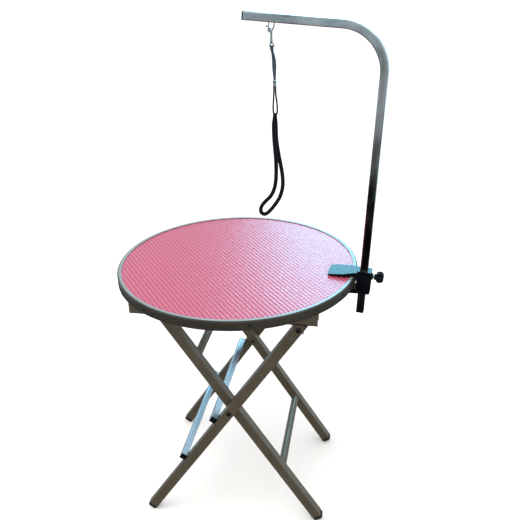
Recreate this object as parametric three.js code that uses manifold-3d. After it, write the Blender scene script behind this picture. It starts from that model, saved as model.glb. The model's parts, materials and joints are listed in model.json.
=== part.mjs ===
// A round folding grooming table: a 600 mm top on a scissor frame of square tube, with a clamped
// arm that holds a noose leash. Millimetres, +Z up, the floor at z = 0.
import * as THREE from 'three';
import * as BufferGeometryUtils from 'three/addons/utils/BufferGeometryUtils.js';
import Module from 'manifold-3d';

const wasm = await Module();
wasm.setup();

// ---------------------------------------------------------------- driving dimensions

const gap = 0.3; // between pieces that touch
const topHeight = 692; // upper edge of the rim above the floor

const rimRadius = 300;
const rimHeight = 23;
const rimWall = 2.6;
const lipWidth = 10.5;
const lipThickness = 1.4;
const rimSegments = 96;
const rimJointAngle = -131.5; // degrees, where the rim's two ends meet
const rimJointGap = 0.8;
const rimScrewCount = 8;
const rimScrewFirst = -122.2;
const rimScrewStep = 48.77;
const rimScrewZ = topHeight - 11;
const rimShoulder = 3.4; // radius of the edge between the rim's wall and its lip
const boardRadius = rimRadius - rimWall - 0.4;
const clearRadius = 230; // the mat inside the clamp's reach, free of anything above it
const matThickness = 2.5;
const matTop = topHeight - lipThickness - gap;
const boardTop = matTop - matThickness - gap;
const boardThickness = 16;
const boardBottom = boardTop - boardThickness;

const legSide = 25;
const legWall = 1.3;
const legCorner = 2.5;
const outerLegY = 182.3; // middle of the outer legs, each side of the table's axis
const innerLegY = 154.5;
const pivotX = 6;
const pivotZ = 361;
const outerAngle = 56.5; // degrees from the floor, the top at the right
const innerAngle = 122.5; // the top at the left
const outerUp = 328; // pivot to the tube's cut end
const outerDown = 416;
const innerUp = 345;
const innerDown = 411.6;
const hingeUp = 311; // pivot to the top hinge, along the outer leg
const footDrop = 12; // rubber past the tube's end, before the floor cuts its lowest corner
const footSide = 25.8;
const footBevel = 4.5;
const outerFace = outerLegY + legSide / 2; // the frames' outermost and innermost faces
const innerFace = innerLegY - legSide / 2;

const railHalf = 221;
const railWall = 1.5;
const railInside = 26;
const railBottom = 634;
const earBottom = 611;
const earHalf = 12.5;

const barSide = 16; // square crossbars of the outer frame
const barEnds = { near: 191.5, far: 174.5 }; // how far they run to each side of the middle
const barWall = 1.2;
const barAlong = [-45, -204]; // from the pivot, down the leg
const capThickness = 3;
const innerBars = [
  { name: 'inner_bar_upper', along: 158, radius: 10 },
  { name: 'inner_bar_lower', along: -234, radius: 10 },
  { name: 'latch_bar', along: 331, radius: 8 },
];
const catchY = 100;
const catchWidth = 30;

const boltRadius = 4;
const headRadius = 6.5;
const headHeight = 3.5;
const nutHeight = 6;
const nutRadius = 7.3; // across its corners, halved
const spacerRadius = 10.5;

const clampAngle = -7; // degrees round the table's axis
const clampLean = 2.25; // the sleeve and pole lean outwards by this
const poleRadius = 318.5; // pole's centre from the table's axis, at the rim's height
const poleSide = 18;
const poleWall = 1.2;
const poleCorner = 2;
const poleDown = 99; // below the rim's height
const armCorner = 554.8; // where the pole's and the arm's centre lines meet
const armReach = 305;
const armTurn = 88; // degrees of bend between pole and arm
const armBend = 95;

// The clamp, with heights measured from the rim's upper edge.
const jawWidth = 54;
const jawTip = 235; // distances from the table's axis
const jawShoulder = 38; // from the tip to where the jaw starts to narrow
const jawRoot = rimRadius + 1.2;
const jawOverlap = 8; // how far the jaws run into the sleeve's wall
const jawTipHeight = 4.2;
const jawMidHeight = 8;
const jawRootHeight = 11;
const padThickness = 1.6;
const padBottom = matTop - topHeight + gap;
const jawBottom = padBottom + padThickness + gap;
const lowerJawTop = boardBottom - topHeight - 14;
const lowerJawHalf = 19;
const clampScrewX = 268;
const clampScrewReach = 20; // from the clamp screw's centre to the lower jaw's tip
const clampScrewEnds = [8, 11]; // the radius of its head and of its pressure foot
const screwRadius = 4; // the clamp screw's and the knob stud's
const sleeveSide = 29;
const sleeveTop = 12.5;
const sleeveBottom = -45.5;
const sleeveOut = 18.5; // pole's centre to the sleeve's outer face
const sleeveIn = 15.5;
const knobZ = -2;
const knobRadius = 14.5;
const knobLobes = 7;
const knobThickness = 22;
const knobFlute = 3.2; // how much closer in the valleys between the lobes are
const knobRound = 2; // the rounding of its edges
const knobHub = [7.5, 6]; // radius and length
const knobOut = 25.5; // pole's centre to the knob's near face
const studGrip = 10; // how far the stud runs into the knob
const bossRadius = 8;
const bossLength = 4;

const pinRadius = 2; // the cross pin in the arm that the leash hangs from
const slotLength = 26; // the slot in the arm's underside, round the pin
const slotWidth = 8;
const leashRadius = 95.4; // the pin from the table's axis

// The leash, with drops measured down from the pin's centre.
const hookWire = 1.5;
const hookReach = 6.2; // the hook's wires from its own middle
const snapBoltX = -5.4;
const swivelDrop = 47;
const eyeDrop = 54.5;
const crimpDrop = 134;
const crimpHalf = 6.5;
const crimpX = 6.4;
const crimpWidth = 7.6;
const crimpDepth = 4.6;
const swivelEye = [4.4, 1.4]; // the ring's radius and its wire's
const boltStart = -4.4; // the sliding bolt's top, and below it its end and its thumb stud
const boltEnd = -29.5;
const studDrop = 17.2;
const guideTop = -20; // the block on the snap's body that the sliding bolt runs through
const guideBottom = -28;
const guideHalf = 2.3;
const strapWidth = 9;
const strapThickness = 2.4;
const thinCord = 3.6;
const nooseCord = 9;

// ---------------------------------------------------------------- materials

const finish = (color, roughness, metalness) =>
  new THREE.MeshStandardMaterial({ color, roughness, metalness });
const paintedSteel = finish(0x8a857a, 0.45, 0.5);
const platedSteel = finish(0xb4c6d2, 0.25, 0.9);
const chrome = finish(0xa9b4b8, 0.12, 1.0);
const zinc = finish(0x9a9c9c, 0.4, 0.8);
const rimMetal = finish(0x5a5a54, 0.4, 0.7);
const pinkMat = finish(0xd8799b, 0.5, 0.0);
const panelWood = finish(0xb9a078, 0.8, 0.0);
const blackCast = finish(0x17191c, 0.35, 0.2);
const blackRubber = finish(0x131313, 0.8, 0.0);
const blackPlastic = finish(0x101113, 0.4, 0.0);
const blueWebbing = finish(0x7f93ad, 0.8, 0.0);
const blackPadding = finish(0x15161a, 0.9, 0.0);

// ---------------------------------------------------------------- helpers

const rad = THREE.MathUtils.degToRad;

function toSolid(geometry) {
  const bare = geometry.index ? geometry.toNonIndexed() : geometry.clone();
  bare.deleteAttribute('normal');
  bare.deleteAttribute('uv');
  const merged = BufferGeometryUtils.mergeVertices(bare, 1e-4);
  const vertProperties = new Float32Array(merged.attributes.position.array);
  const triVerts = new Uint32Array(merged.index.array);
  return new wasm.Manifold(new wasm.Mesh({ numProp: 3, vertProperties, triVerts }));
}

function toGeometry(solid) {
  const { vertProperties, triVerts } = solid.getMesh();
  const geometry = new THREE.BufferGeometry();
  geometry.setAttribute('position', new THREE.BufferAttribute(new Float32Array(vertProperties), 3));
  geometry.setIndex(new THREE.BufferAttribute(new Uint32Array(triVerts), 1));
  return geometry;
}

const carve = (geometry, cutters) =>
  toGeometry(cutters.reduce((solid, cutter) => solid.subtract(toSolid(cutter)), toSolid(geometry)));

const join = (geometry, extras) =>
  toGeometry(extras.reduce((solid, extra) => solid.add(toSolid(extra)), toSolid(geometry)));

const keep = (geometry, mould) => toGeometry(toSolid(geometry).intersect(toSolid(mould)));

// A box from its lowest to its highest corner.
function block(low, high) {
  const size = high.map((value, axis) => value - low[axis]);
  const middle = high.map((value, axis) => (value + low[axis]) / 2);
  return new THREE.BoxGeometry(...size).translate(...middle);
}

// A solid of revolution about +Z from [radius, height] pairs.
const turned = (profile, segments = 16) =>
  new THREE.LatheGeometry(profile.map(([r, z]) => new THREE.Vector2(r, z)), segments).rotateX(Math.PI / 2);

const rod = (radius, z0, z1, segments = 12) =>
  turned([[0, z0], [radius, z0], [radius, z1], [0, z1]], segments);

const alongX = (geometry) => geometry.rotateY(Math.PI / 2);
const alongY = (geometry) => geometry.rotateX(-Math.PI / 2);

function roundedSquare(side, corner) {
  const half = side / 2;
  const inner = half - corner;
  const shape = new THREE.Shape();
  shape.moveTo(half, -inner);
  shape.absarc(inner, inner, corner, 0, Math.PI / 2);
  shape.absarc(-inner, inner, corner, Math.PI / 2, Math.PI);
  shape.absarc(-inner, -inner, corner, Math.PI, 1.5 * Math.PI);
  shape.absarc(inner, -inner, corner, 1.5 * Math.PI, 2 * Math.PI);
  return shape;
}

function tubeSection(side, corner, wall) {
  const shape = roundedSquare(side, corner);
  const half = side / 2 - wall;
  const hole = new THREE.Path();
  hole.moveTo(-half, -half);
  hole.lineTo(-half, half);
  hole.lineTo(half, half);
  hole.lineTo(half, -half);
  hole.closePath();
  shape.holes.push(hole);
  return shape;
}

// A section in the XY plane drawn out along +Z.
const drawn = (shape, length, options = {}) =>
  new THREE.ExtrudeGeometry(shape, { depth: length, bevelEnabled: false, curveSegments: 2, ...options });

// An outline of [x, z] points made solid between two depths in y.
function plateXZ(points, y0, y1) {
  const shape = new THREE.Shape(points.map(([x, z]) => new THREE.Vector2(x, z)));
  return drawn(shape, y1 - y0).rotateX(Math.PI / 2).translate(0, y1, 0);
}

function piece(parent, name, geometry, material, position = [0, 0, 0]) {
  const mesh = new THREE.Mesh(geometry, material);
  mesh.name = name;
  mesh.position.set(...position);
  parent.add(mesh);
  return mesh;
}

function group(parent, position = [0, 0, 0]) {
  const child = new THREE.Group();
  child.position.set(...position);
  parent.add(child);
  return child;
}

const sides = [['near', -1], ['far', 1]];

// ---------------------------------------------------------------- scene graph

const groomingTable = new THREE.Group();
const onAxis = group(groomingTable); // the table's own axis, moved below to centre the footprint

// Frames whose +X runs up a leg and whose +Z is square to it, with the scissor pivot at the origin.
const outerFrame = group(onAxis, [pivotX, 0, pivotZ]);
outerFrame.rotation.y = -rad(outerAngle);
const innerFrame = group(onAxis, [pivotX, 0, pivotZ]);
innerFrame.rotation.y = -rad(innerAngle);

const hingeX = pivotX + hingeUp * Math.cos(rad(outerAngle));
const hingeZ = pivotZ + hingeUp * Math.sin(rad(outerAngle));

// ---------------------------------------------------------------- tabletop

const screwAngles = Array.from({ length: rimScrewCount }, (_, i) => rimScrewFirst + i * rimScrewStep);

const radialRod = (radius, from, to, angle, z) =>
  alongX(rod(radius, from, to, 10)).rotateZ(rad(angle)).translate(0, 0, z);

function makeBoard() {
  const disc = turned(
    [[0, boardBottom], [boardRadius, boardBottom], [boardRadius, boardTop], [0, boardTop]],
    rimSegments,
  );
  return carve(disc, screwAngles.map((angle) => radialRod(1.6, 283, rimRadius + 2, angle, rimScrewZ)));
}

// The mat, its top split at the circle inside which nothing stands over it.
function makeMat() {
  const radius = boardRadius - 0.5;
  const bottom = matTop - matThickness;
  const profile = [[0, bottom], [radius, bottom], [radius, matTop], [clearRadius, matTop], [0, matTop]];
  return turned(profile, rimSegments);
}

// An angle section: a wall round the board's edge and a lip over the mat's edge.
function makeRim() {
  const wall = rimRadius - rimWall;
  const lip = rimRadius - lipWidth;
  const bottom = topHeight - rimHeight;
  const under = topHeight - lipThickness;
  const profile = [
    [wall, bottom], [rimRadius - 0.5, bottom], [rimRadius, bottom + 0.6],
    [rimRadius, topHeight - rimShoulder],
    [rimRadius - 0.3 * rimShoulder, topHeight - 0.3 * rimShoulder], [rimRadius - rimShoulder, topHeight],
    [lip + 0.4, topHeight], [lip, under + 0.5], [lip, under], [wall, under], [wall, bottom],
  ];
  const half = rimJointGap / 2;
  const slit = block([lip - 2, -half, bottom - 2], [rimRadius + 2, half, topHeight + 2]);
  const holes = screwAngles.map((angle) => radialRod(1.9, wall - 2, rimRadius + 2, angle, rimScrewZ));
  return carve(turned(profile, rimSegments), [slit.rotateZ(rad(rimJointAngle)), ...holes]);
}

function makeRimScrew() {
  const head = rimRadius + gap;
  return alongX(turned([
    [0, 285], [1.3, 287], [1.3, head], [3.3, head], [3.2, head + 0.7], [2.2, head + 1.4], [0, head + 1.6],
  ], 8));
}

// A channel, open below, with two ears that hang lower and hold the leg's hinge screw.
function makeRail() {
  const half = railInside / 2 + railWall;
  const top = boardBottom - gap;
  const inside = top - railWall;
  const section = new THREE.Shape([
    [-half, railBottom], [-half + railWall, railBottom], [-half + railWall, inside],
    [half - railWall, inside], [half - railWall, railBottom], [half, railBottom], [half, top], [-half, top],
  ].map(([y, z]) => new THREE.Vector2(y, z)));
  const channel = drawn(section, 2 * railHalf)
    .rotateX(Math.PI / 2).rotateZ(Math.PI / 2).translate(-railHalf, 0, 0);
  const left = hingeX - earHalf;
  const right = hingeX + earHalf;
  const ear = [
    [left, railBottom + 4], [left, earBottom + 3], [left + 3, earBottom], [right - 3, earBottom],
    [right, earBottom + 3], [right, railBottom + 4],
  ];
  const ears = [-half, half - railWall].map((y) => plateXZ(ear, y, y + railWall));
  const hole = alongY(rod(boltRadius + gap, -half - 2, half + 2)).translate(hingeX, 0, hingeZ);
  return carve(join(channel, ears), [hole]);
}

// A moulded hook, open towards the hinge side, that the latch bar slides into.
function makeCatch(barX, barZ, barRadius) {
  const roof = boardBottom - gap;
  const back = barX - barRadius - 0.6;
  const slotTop = barZ + barRadius + 0.6;
  const slotBottom = barZ - barRadius - 1;
  const outline = [
    [back - 7, roof], [back - 5, slotBottom - 2], [back - 3, slotBottom - 4], [barX + 3, slotBottom - 4],
    [barX + 5, slotBottom - 2], [barX + 4, slotBottom], [back, slotBottom], [back, slotTop],
    [barX + 13, slotTop], [barX + 16, slotTop + 4], [barX + 16, roof - 5], [barX + 24, roof - 3],
    [barX + 24, roof],
  ].reverse();
  return plateXZ(outline, -catchWidth / 2, catchWidth / 2);
}

function buildTabletop(parent) {
  piece(parent, 'top_board', makeBoard(), panelWood);
  piece(parent, 'top_mat', makeMat(), pinkMat);
  piece(parent, 'edge_rim', makeRim(), rimMetal);
  screwAngles.forEach((angle, i) => {
    const screw = piece(parent, `rim_screw_${i + 1}`, makeRimScrew(), zinc, [0, 0, rimScrewZ]);
    screw.rotation.z = rad(angle);
  });
  const latch = innerBars.find((bar) => bar.name === 'latch_bar');
  const latchX = pivotX + latch.along * Math.cos(rad(innerAngle));
  const latchZ = pivotZ + latch.along * Math.sin(rad(innerAngle));
  for (const [side, sign] of sides) {
    const y = sign * outerLegY;
    const hook = makeCatch(latchX, latchZ, latch.radius);
    piece(parent, `rail_${side}`, makeRail(), paintedSteel, [0, y, 0]);
    piece(parent, `catch_${side}`, hook, blackPlastic, [0, sign * catchY, 0]);
    const screw = piece(parent, `hinge_screw_${side}`, makeHingeScrew(), zinc, [hingeX, y, hingeZ]);
    screw.rotation.x = sign > 0 ? Math.PI : 0;
  }
}

// ---------------------------------------------------------------- fasteners

// Button head at -y with a round-bottomed socket, shank along +y from y = start to y = end.
const buttonBolt = (start, end) => alongY(turned([
  [0, start - headHeight + 2], [2.6, start - headHeight + 1.6], [2.8, start - headHeight],
  [4.6, start - headHeight], [6.1, start - headHeight * 0.6],
  [headRadius, start - 0.4], [headRadius, start],
  [boltRadius, start], [boltRadius, end - 0.8], [boltRadius - 0.8, end], [0, end],
], 12));

function makeHingeScrew() {
  const half = railInside / 2 + railWall;
  return buttonBolt(-half - gap, half);
}

const makePivotBolt = () => buttonBolt(-outerFace - gap, -innerFace + gap + nutHeight + 2);

function makeNut() {
  const hexagon = new THREE.Shape();
  for (let i = 0; i < 6; i += 1) {
    const angle = (i * Math.PI) / 3;
    const point = [nutRadius * Math.cos(angle), nutRadius * Math.sin(angle)];
    if (i) hexagon.lineTo(...point);
    else hexagon.moveTo(...point);
  }
  const hole = new THREE.Path().absarc(0, 0, boltRadius + gap, 0, 2 * Math.PI, true);
  hexagon.holes.push(hole);
  return alongY(drawn(hexagon, nutHeight, { curveSegments: 8 }));
}

function makeSpacer() {
  const space = outerLegY - innerLegY - legSide;
  const hole = boltRadius + gap;
  return alongY(turned([
    [hole, gap], [spacerRadius, gap], [spacerRadius, space - gap], [hole, space - gap], [hole, gap],
  ], 12));
}

// ---------------------------------------------------------------- leg frames

const legTube = (down, up) =>
  alongX(drawn(tubeSection(legSide, legCorner, legWall), down + up)).translate(-down, 0, 0);

const crossHole = (x, radius) => alongY(rod(radius, -legSide, legSide)).translate(x, 0, 0);

const insertSide = legSide - 2 * legWall - 2 * gap;

// A flat-topped plastic plug: a plate over the tube's end and a block inside it.
function makePlug(side, inside, x) {
  const plate = alongX(drawn(roundedSquare(side, 2.5), capThickness)).translate(x + gap, 0, 0);
  const insert = block([x - 12, -inside / 2, -inside / 2], [x + gap + 1, inside / 2, inside / 2]);
  return join(plate, [insert]);
}

// A rubber foot: a rounded block past the tube's end, cut flat where it stands on the floor.
function makeFoot(down, angle) {
  const bevels = {
    bevelEnabled: true, bevelThickness: footBevel, bevelSize: footBevel, bevelOffset: -footBevel,
    bevelSegments: 3,
  };
  const blank = drawn(roundedSquare(footSide, footBevel + 0.5), footDrop, bevels);
  const rounded = alongX(blank).translate(footBevel - footDrop, 0, 0);
  const past = block([-footDrop - 2, -20, -20], [-gap, 20, 20]);
  const insert = block([-gap - 1, -insertSide / 2, -insertSide / 2], [14, insertSide / 2, insertSide / 2]);
  const foot = join(keep(rounded, past), [insert]).translate(-down, 0, 0);
  const floor = block([-60, -30, -60], [60, 30, 0])
    .translate(-down * Math.cos(rad(angle)), 0, -pivotZ)
    .rotateY(rad(angle));
  return carve(foot, [floor]);
}

function buildOuterFrame(parent) {
  for (const [side, sign] of sides) {
    const y = sign * outerLegY;
    const holes = [crossHole(0, boltRadius + gap), crossHole(hingeUp, boltRadius + gap)];
    piece(parent, `outer_leg_${side}`, carve(legTube(outerDown, outerUp), holes), paintedSteel, [0, y, 0]);
    piece(parent, `outer_plug_${side}`, makePlug(legSide, insertSide, outerUp), blackPlastic, [0, y, 0]);
    piece(parent, `outer_foot_${side}`, makeFoot(outerDown, outerAngle), blackRubber, [0, y, 0]);

    const turn = sign > 0 ? Math.PI : 0; // the far side's fasteners face the other way
    const bolt = piece(parent, `pivot_bolt_${side}`, makePivotBolt(), zinc);
    bolt.rotation.x = turn;
    const nutY = sign * (innerFace - gap);
    const nut = piece(parent, `pivot_nut_${side}`, makeNut(), zinc, [0, nutY, 0]);
    nut.rotation.x = turn;
    const spacerY = sign * (outerLegY - legSide / 2);
    const spacer = piece(parent, `pivot_spacer_${side}`, makeSpacer(), blackPlastic, [0, spacerY, 0]);
    spacer.rotation.x = turn;
  }
  barAlong.forEach((along, i) => {
    const level = legSide / 2 + gap + barSide / 2;
    const bar = alongY(drawn(tubeSection(barSide, 2, barWall), barEnds.near + barEnds.far));
    piece(parent, `outer_bar_${i + 1}`, bar, platedSteel, [along, -barEnds.near, level]);
    for (const [side, sign] of sides) {
      const inside = barSide - 2 * barWall - 2 * gap;
      const cap = makePlug(barSide, inside, barEnds[side]).rotateZ((sign * Math.PI) / 2);
      piece(parent, `bar_cap_${i + 1}_${side}`, cap, blackPlastic, [along, 0, level]);
    }
  });
}

function buildInnerFrame(parent) {
  for (const [side, sign] of sides) {
    const y = sign * innerLegY;
    const leg = carve(legTube(innerDown, innerUp), [crossHole(0, boltRadius + gap)]);
    piece(parent, `inner_leg_${side}`, leg, paintedSteel, [0, y, 0]);
    piece(parent, `inner_plug_${side}`, makePlug(legSide, insertSide, innerUp), blackPlastic, [0, y, 0]);
    piece(parent, `inner_foot_${side}`, makeFoot(innerDown, innerAngle), blackRubber, [0, y, 0]);
  }
  for (const { name, along, radius } of innerBars) {
    const half = innerFace - gap;
    const bore = radius - legWall;
    const tube = turned([[bore, -half], [radius, -half], [radius, half], [bore, half], [bore, -half]], 20);
    piece(parent, name, alongY(tube), paintedSteel, [along, 0, 0]);
  }
}

// ---------------------------------------------------------------- clamp, knob and arm

// In this frame +X points away from the table's axis, from the table's axis at the rim's height.
const clampFrame = group(onAxis, [0, 0, topHeight]);
clampFrame.rotation.z = rad(clampAngle);
// In this one +Z runs up the pole, from the pole's centre line at the rim's height.
const poleFrame = group(clampFrame, [poleRadius, 0, 0]);
poleFrame.rotation.y = rad(clampLean);

// The upper jaw's plan: square shoulders at the tip, narrowing to the sleeve.
function jawOutline(tip, half, rootHalf, root) {
  const corner = 7;
  const outline = new THREE.Shape();
  outline.moveTo(root, -rootHalf);
  outline.lineTo(root, rootHalf);
  outline.lineTo(tip + jawShoulder, half);
  outline.absarc(tip + corner, half - corner, corner, Math.PI / 2, Math.PI);
  outline.absarc(tip + corner, corner - half, corner, Math.PI, 1.5 * Math.PI);
  outline.lineTo(tip + jawShoulder, -half);
  return outline;
}

const jawRootEnd = jawRoot + jawOverlap;
const jawRootHalf = sleeveSide / 2 + 3;
const toPole = (geometry) => geometry.rotateY(rad(clampLean)).translate(poleRadius, 0, 0);

// Thin at its tip and thicker towards the sleeve.
function makeUpperJaw() {
  const half = jawWidth / 2;
  const plan = jawOutline(jawTip, half, jawRootHalf, jawRootEnd);
  const blank = drawn(plan, 2 * jawRootHeight, { curveSegments: 4 }).translate(0, 0, jawBottom);
  const profile = [
    [jawTip - 1, jawBottom - 1], [jawRootEnd + 1, jawBottom - 1], [jawRootEnd + 1, jawRootHeight],
    [jawRoot - 4, jawRootHeight], [jawTip + jawShoulder, jawMidHeight], [jawTip - 1, jawTipHeight],
  ];
  return keep(blank, plateXZ(profile, -half - 1, half + 1));
}

function makeLowerJaw() {
  const plan = jawOutline(clampScrewX - clampScrewReach, lowerJawHalf, jawRootHalf - 2, jawRootEnd);
  return drawn(plan, lowerJawTop - sleeveBottom, { curveSegments: 4 }).translate(0, 0, sleeveBottom);
}

// The tall box that the pole slides through, with a boss for the knob's stud.
function makeSleeve() {
  const sleeve = drawn(roundedSquare(sleeveSide, 3), sleeveTop - sleeveBottom)
    .scale((sleeveIn + sleeveOut) / sleeveSide, 1, 1)
    .translate((sleeveOut - sleeveIn) / 2, 0, sleeveBottom);
  const boss = alongX(rod(bossRadius, 0, sleeveOut + bossLength)).translate(0, 0, knobZ);
  return toPole(join(sleeve, [boss]));
}

function makeClampBody() {
  const past = 9; // how far each cut runs out of the metal
  const fit = poleSide / 2 + gap;
  const bore = toPole(block([-fit, -fit, sleeveBottom - past], [fit, fit, sleeveTop + past]));
  const studHole = toPole(alongX(rod(screwRadius + gap, 0, sleeveOut + past)).translate(0, 0, knobZ));
  const rimSpace = block([0, -jawWidth, lowerJawTop], [jawRoot, jawWidth, jawBottom]);
  const screwHole = rod(screwRadius + gap, sleeveBottom - past, lowerJawTop + past)
    .translate(clampScrewX, 0, 0);
  const jaws = carve(join(makeUpperJaw(), [makeLowerJaw()]), [rimSpace]);
  return carve(join(jaws, [makeSleeve()]), [bore, studHole, screwHole]);
}

// The clamping screw with its round pressure foot against the board.
function makeClampScrew() {
  const foot = boardBottom - topHeight - gap;
  const head = sleeveBottom - gap;
  const [headWidth, footWidth] = clampScrewEnds;
  return turned([
    [0, head - 20], [headWidth - 1, head - 20], [headWidth, head - 18.5], [headWidth, head - 12],
    [headWidth - 1, head - 10], [screwRadius, head - 9], [screwRadius, foot - 4],
    [footWidth, foot - 3], [footWidth, foot], [0, foot],
  ], 12);
}

function makeStud() {
  const start = poleSide / 2 + gap;
  const end = knobOut + studGrip;
  return alongX(turned([
    [0, start], [screwRadius - 1, start], [screwRadius, start + 1], [screwRadius, end], [0, end],
  ]));
}

// A star knob: round lobes on a disc, the edges rounded over, with a blind hole for the stud.
function makeKnob() {
  const outline = new THREE.Shape();
  const steps = knobLobes * 6;
  for (let i = 0; i < steps; i += 1) {
    const angle = (i / steps) * 2 * Math.PI;
    const radius = knobRadius - knobRound - (knobFlute / 2) * (1 - Math.cos(knobLobes * angle));
    const point = [radius * Math.cos(angle), radius * Math.sin(angle)];
    if (i) outline.lineTo(...point);
    else outline.moveTo(...point);
  }
  const edge = 1.5 * knobRound;
  const bevels = { bevelEnabled: true, bevelThickness: edge, bevelSize: knobRound, bevelSegments: 2 };
  const [hubRadius, hubLength] = knobHub;
  const starStart = hubLength + edge - 1;
  const star = drawn(outline, knobThickness - starStart - edge, bevels).translate(0, 0, starStart);
  const hub = rod(hubRadius, 0, hubLength, 20);
  const blind = rod(screwRadius + gap, -1, studGrip + gap);
  return alongX(carve(join(star, [hub]), [blind])).translate(knobOut, 0, 0);
}

// A closed solid from one outline carried through stations: each has a point on the centre line
// and the direction in which the outline's x runs; its y stays along the frame's y.
function swept(outline, stations) {
  const count = outline.length;
  const positions = stations.flatMap(({ at, out }) =>
    outline.flatMap(({ x, y }) => [at.x + out.x * x, at.y + y, at.z + out.z * x]));
  const index = [];
  for (let s = 0; s + 1 < stations.length; s += 1) {
    for (let i = 0; i < count; i += 1) {
      const a = s * count + i;
      const b = s * count + ((i + 1) % count);
      index.push(a, b, a + count, b, b + count, a + count);
    }
  }
  const end = (stations.length - 1) * count;
  for (const [a, b, c] of THREE.ShapeUtils.triangulateShape(outline, [])) {
    index.push(a, c, b, end + a, end + b, end + c);
  }
  const geometry = new THREE.BufferGeometry();
  geometry.setAttribute('position', new THREE.Float32BufferAttribute(positions, 3));
  geometry.setIndex(index);
  return geometry;
}

// The bent tube's centre line in the pole's frame: up the pole, round the bend, along the arm.
function armStations(low, tip) {
  const turn = rad(armTurn);
  const tangent = armBend * Math.tan(turn / 2);
  const steps = 10;
  const stations = [{ at: new THREE.Vector3(0, 0, -low), out: new THREE.Vector3(1, 0, 0) }];
  for (let i = 0; i <= steps; i += 1) {
    const angle = (turn * i) / steps;
    const out = new THREE.Vector3(Math.cos(angle), 0, Math.sin(angle));
    const centre = new THREE.Vector3(-armBend, 0, armCorner - tangent);
    stations.push({ at: centre.addScaledVector(out, armBend), out });
  }
  const { out } = stations[stations.length - 1];
  const tipPoint = new THREE.Vector3(-tip * Math.sin(turn), 0, armCorner + tip * Math.cos(turn));
  stations.push({ at: tipPoint, out });
  return stations;
}

const pointsOf = (shape) => shape.getPoints(2).slice(0, -1);

function makeArmTube() {
  const outside = swept(pointsOf(roundedSquare(poleSide, poleCorner)), armStations(poleDown, armReach));
  const half = poleSide / 2 - poleWall;
  const bore = [[half, -half], [half, half], [-half, half], [-half, -half]]
    .map(([x, y]) => new THREE.Vector2(x, y));
  const inside = swept(bore, armStations(poleDown + 5, armReach + 5));
  return carve(outside, [inside]);
}

// The pin's place along the arm from the corner of the centre lines, and its height above the rim.
const lean = rad(clampLean);
const rise = rad(90 - armTurn) + lean;
const cornerRadius = poleRadius + armCorner * Math.sin(lean);
const leashAlong = (cornerRadius - leashRadius) / Math.cos(rise);
const leashHeight = armCorner * Math.cos(lean) + leashAlong * Math.sin(rise);

// From the corner of the centre lines: +X along the arm to its tip, +Z away from its underside.
const armFrame = group(poleFrame, [0, 0, armCorner]);
armFrame.rotation.y = -(Math.PI / 2 + rad(armTurn));

function makeSlottedArm() {
  const turn = -(Math.PI / 2 + rad(armTurn));
  const intoArm = (geometry) =>
    geometry.translate(leashAlong, 0, 0).rotateY(turn).translate(0, 0, armCorner);
  const slot = block([-slotLength / 2, -slotWidth / 2, 2], [slotLength / 2, slotWidth / 2, poleSide]);
  const pinHole = alongY(rod(pinRadius + gap, -poleSide, poleSide, 12));
  return carve(makeArmTube(), [intoArm(slot), intoArm(pinHole)]);
}

function buildClampAndArm() {
  piece(clampFrame, 'clamp_body', makeClampBody(), blackCast);
  const padShape = jawOutline(jawTip + 3, jawWidth / 2 - 3, sleeveSide / 2, rimRadius - lipWidth - 4);
  const pad = drawn(padShape, padThickness, { curveSegments: 4 }).translate(0, 0, padBottom);
  piece(clampFrame, 'jaw_pad', pad, blackRubber);
  piece(clampFrame, 'clamp_screw', makeClampScrew(), zinc, [clampScrewX, 0, 0]);
  piece(poleFrame, 'knob_stud', makeStud(), zinc, [0, 0, knobZ]);
  piece(poleFrame, 'star_knob', makeKnob(), blackPlastic, [0, 0, knobZ]);
  piece(poleFrame, 'arm_tube', makeSlottedArm(), chrome);
  const capInside = poleSide - 2 * poleWall - 2 * gap;
  const poleCap = makePlug(poleSide, capInside, poleDown).rotateY(Math.PI / 2);
  piece(poleFrame, 'pole_cap', poleCap, blackPlastic);
  piece(armFrame, 'arm_cap', makePlug(poleSide, capInside, armReach), blackPlastic);
  const pinHalf = poleSide / 2 + 0.4;
  const pin = alongY(turned([
    [0, -pinHalf], [pinRadius - 0.4, -pinHalf], [pinRadius, -pinHalf + 0.4], [pinRadius, pinHalf - 0.4],
    [pinRadius - 0.4, pinHalf], [0, pinHalf],
  ], 12));
  piece(armFrame, 'leash_pin', pin, zinc, [leashAlong, 0, 0]);
}

// ---------------------------------------------------------------- leash

// The leash hangs straight down from the pin; this frame's origin is the pin's centre.
const leashFrame = group(clampFrame, [leashRadius, 0, leashHeight]);

// The strap from the swivel eye to the crimp.
const strapRoute = [
  [0.6, 0, -61.4], [1.6, 0, -67], [3.1, 0, -73], [4.4, 0, -79.5], [5.2, 0, -86], [5.6, 0, -93],
  [5.8, 0, -100], [5.9, 0, -107], [6.0, 0, -114], [6.2, 0, -120.5], [6.4, 0, -127.2],
];

// The thin cord that leaves the crimp, passes through the noose and returns to the crimp.
const thinRoute = [
  [4.4, 0, -140.8], [4.4, 0, -150], [4.1, 0, -160], [3.3, 0, -170], [2.6, 0, -180], [2.4, 0, -190],
  [3.4, 0, -198], [6.8, 0, -202], [10.4, 0, -199.4], [11.8, 0, -193], [11.8, 0, -185], [11.0, 0, -175],
  [9.8, 0, -166], [8.7, 0, -157], [8.4, 0, -149], [8.4, 0, -140.8],
];

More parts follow.
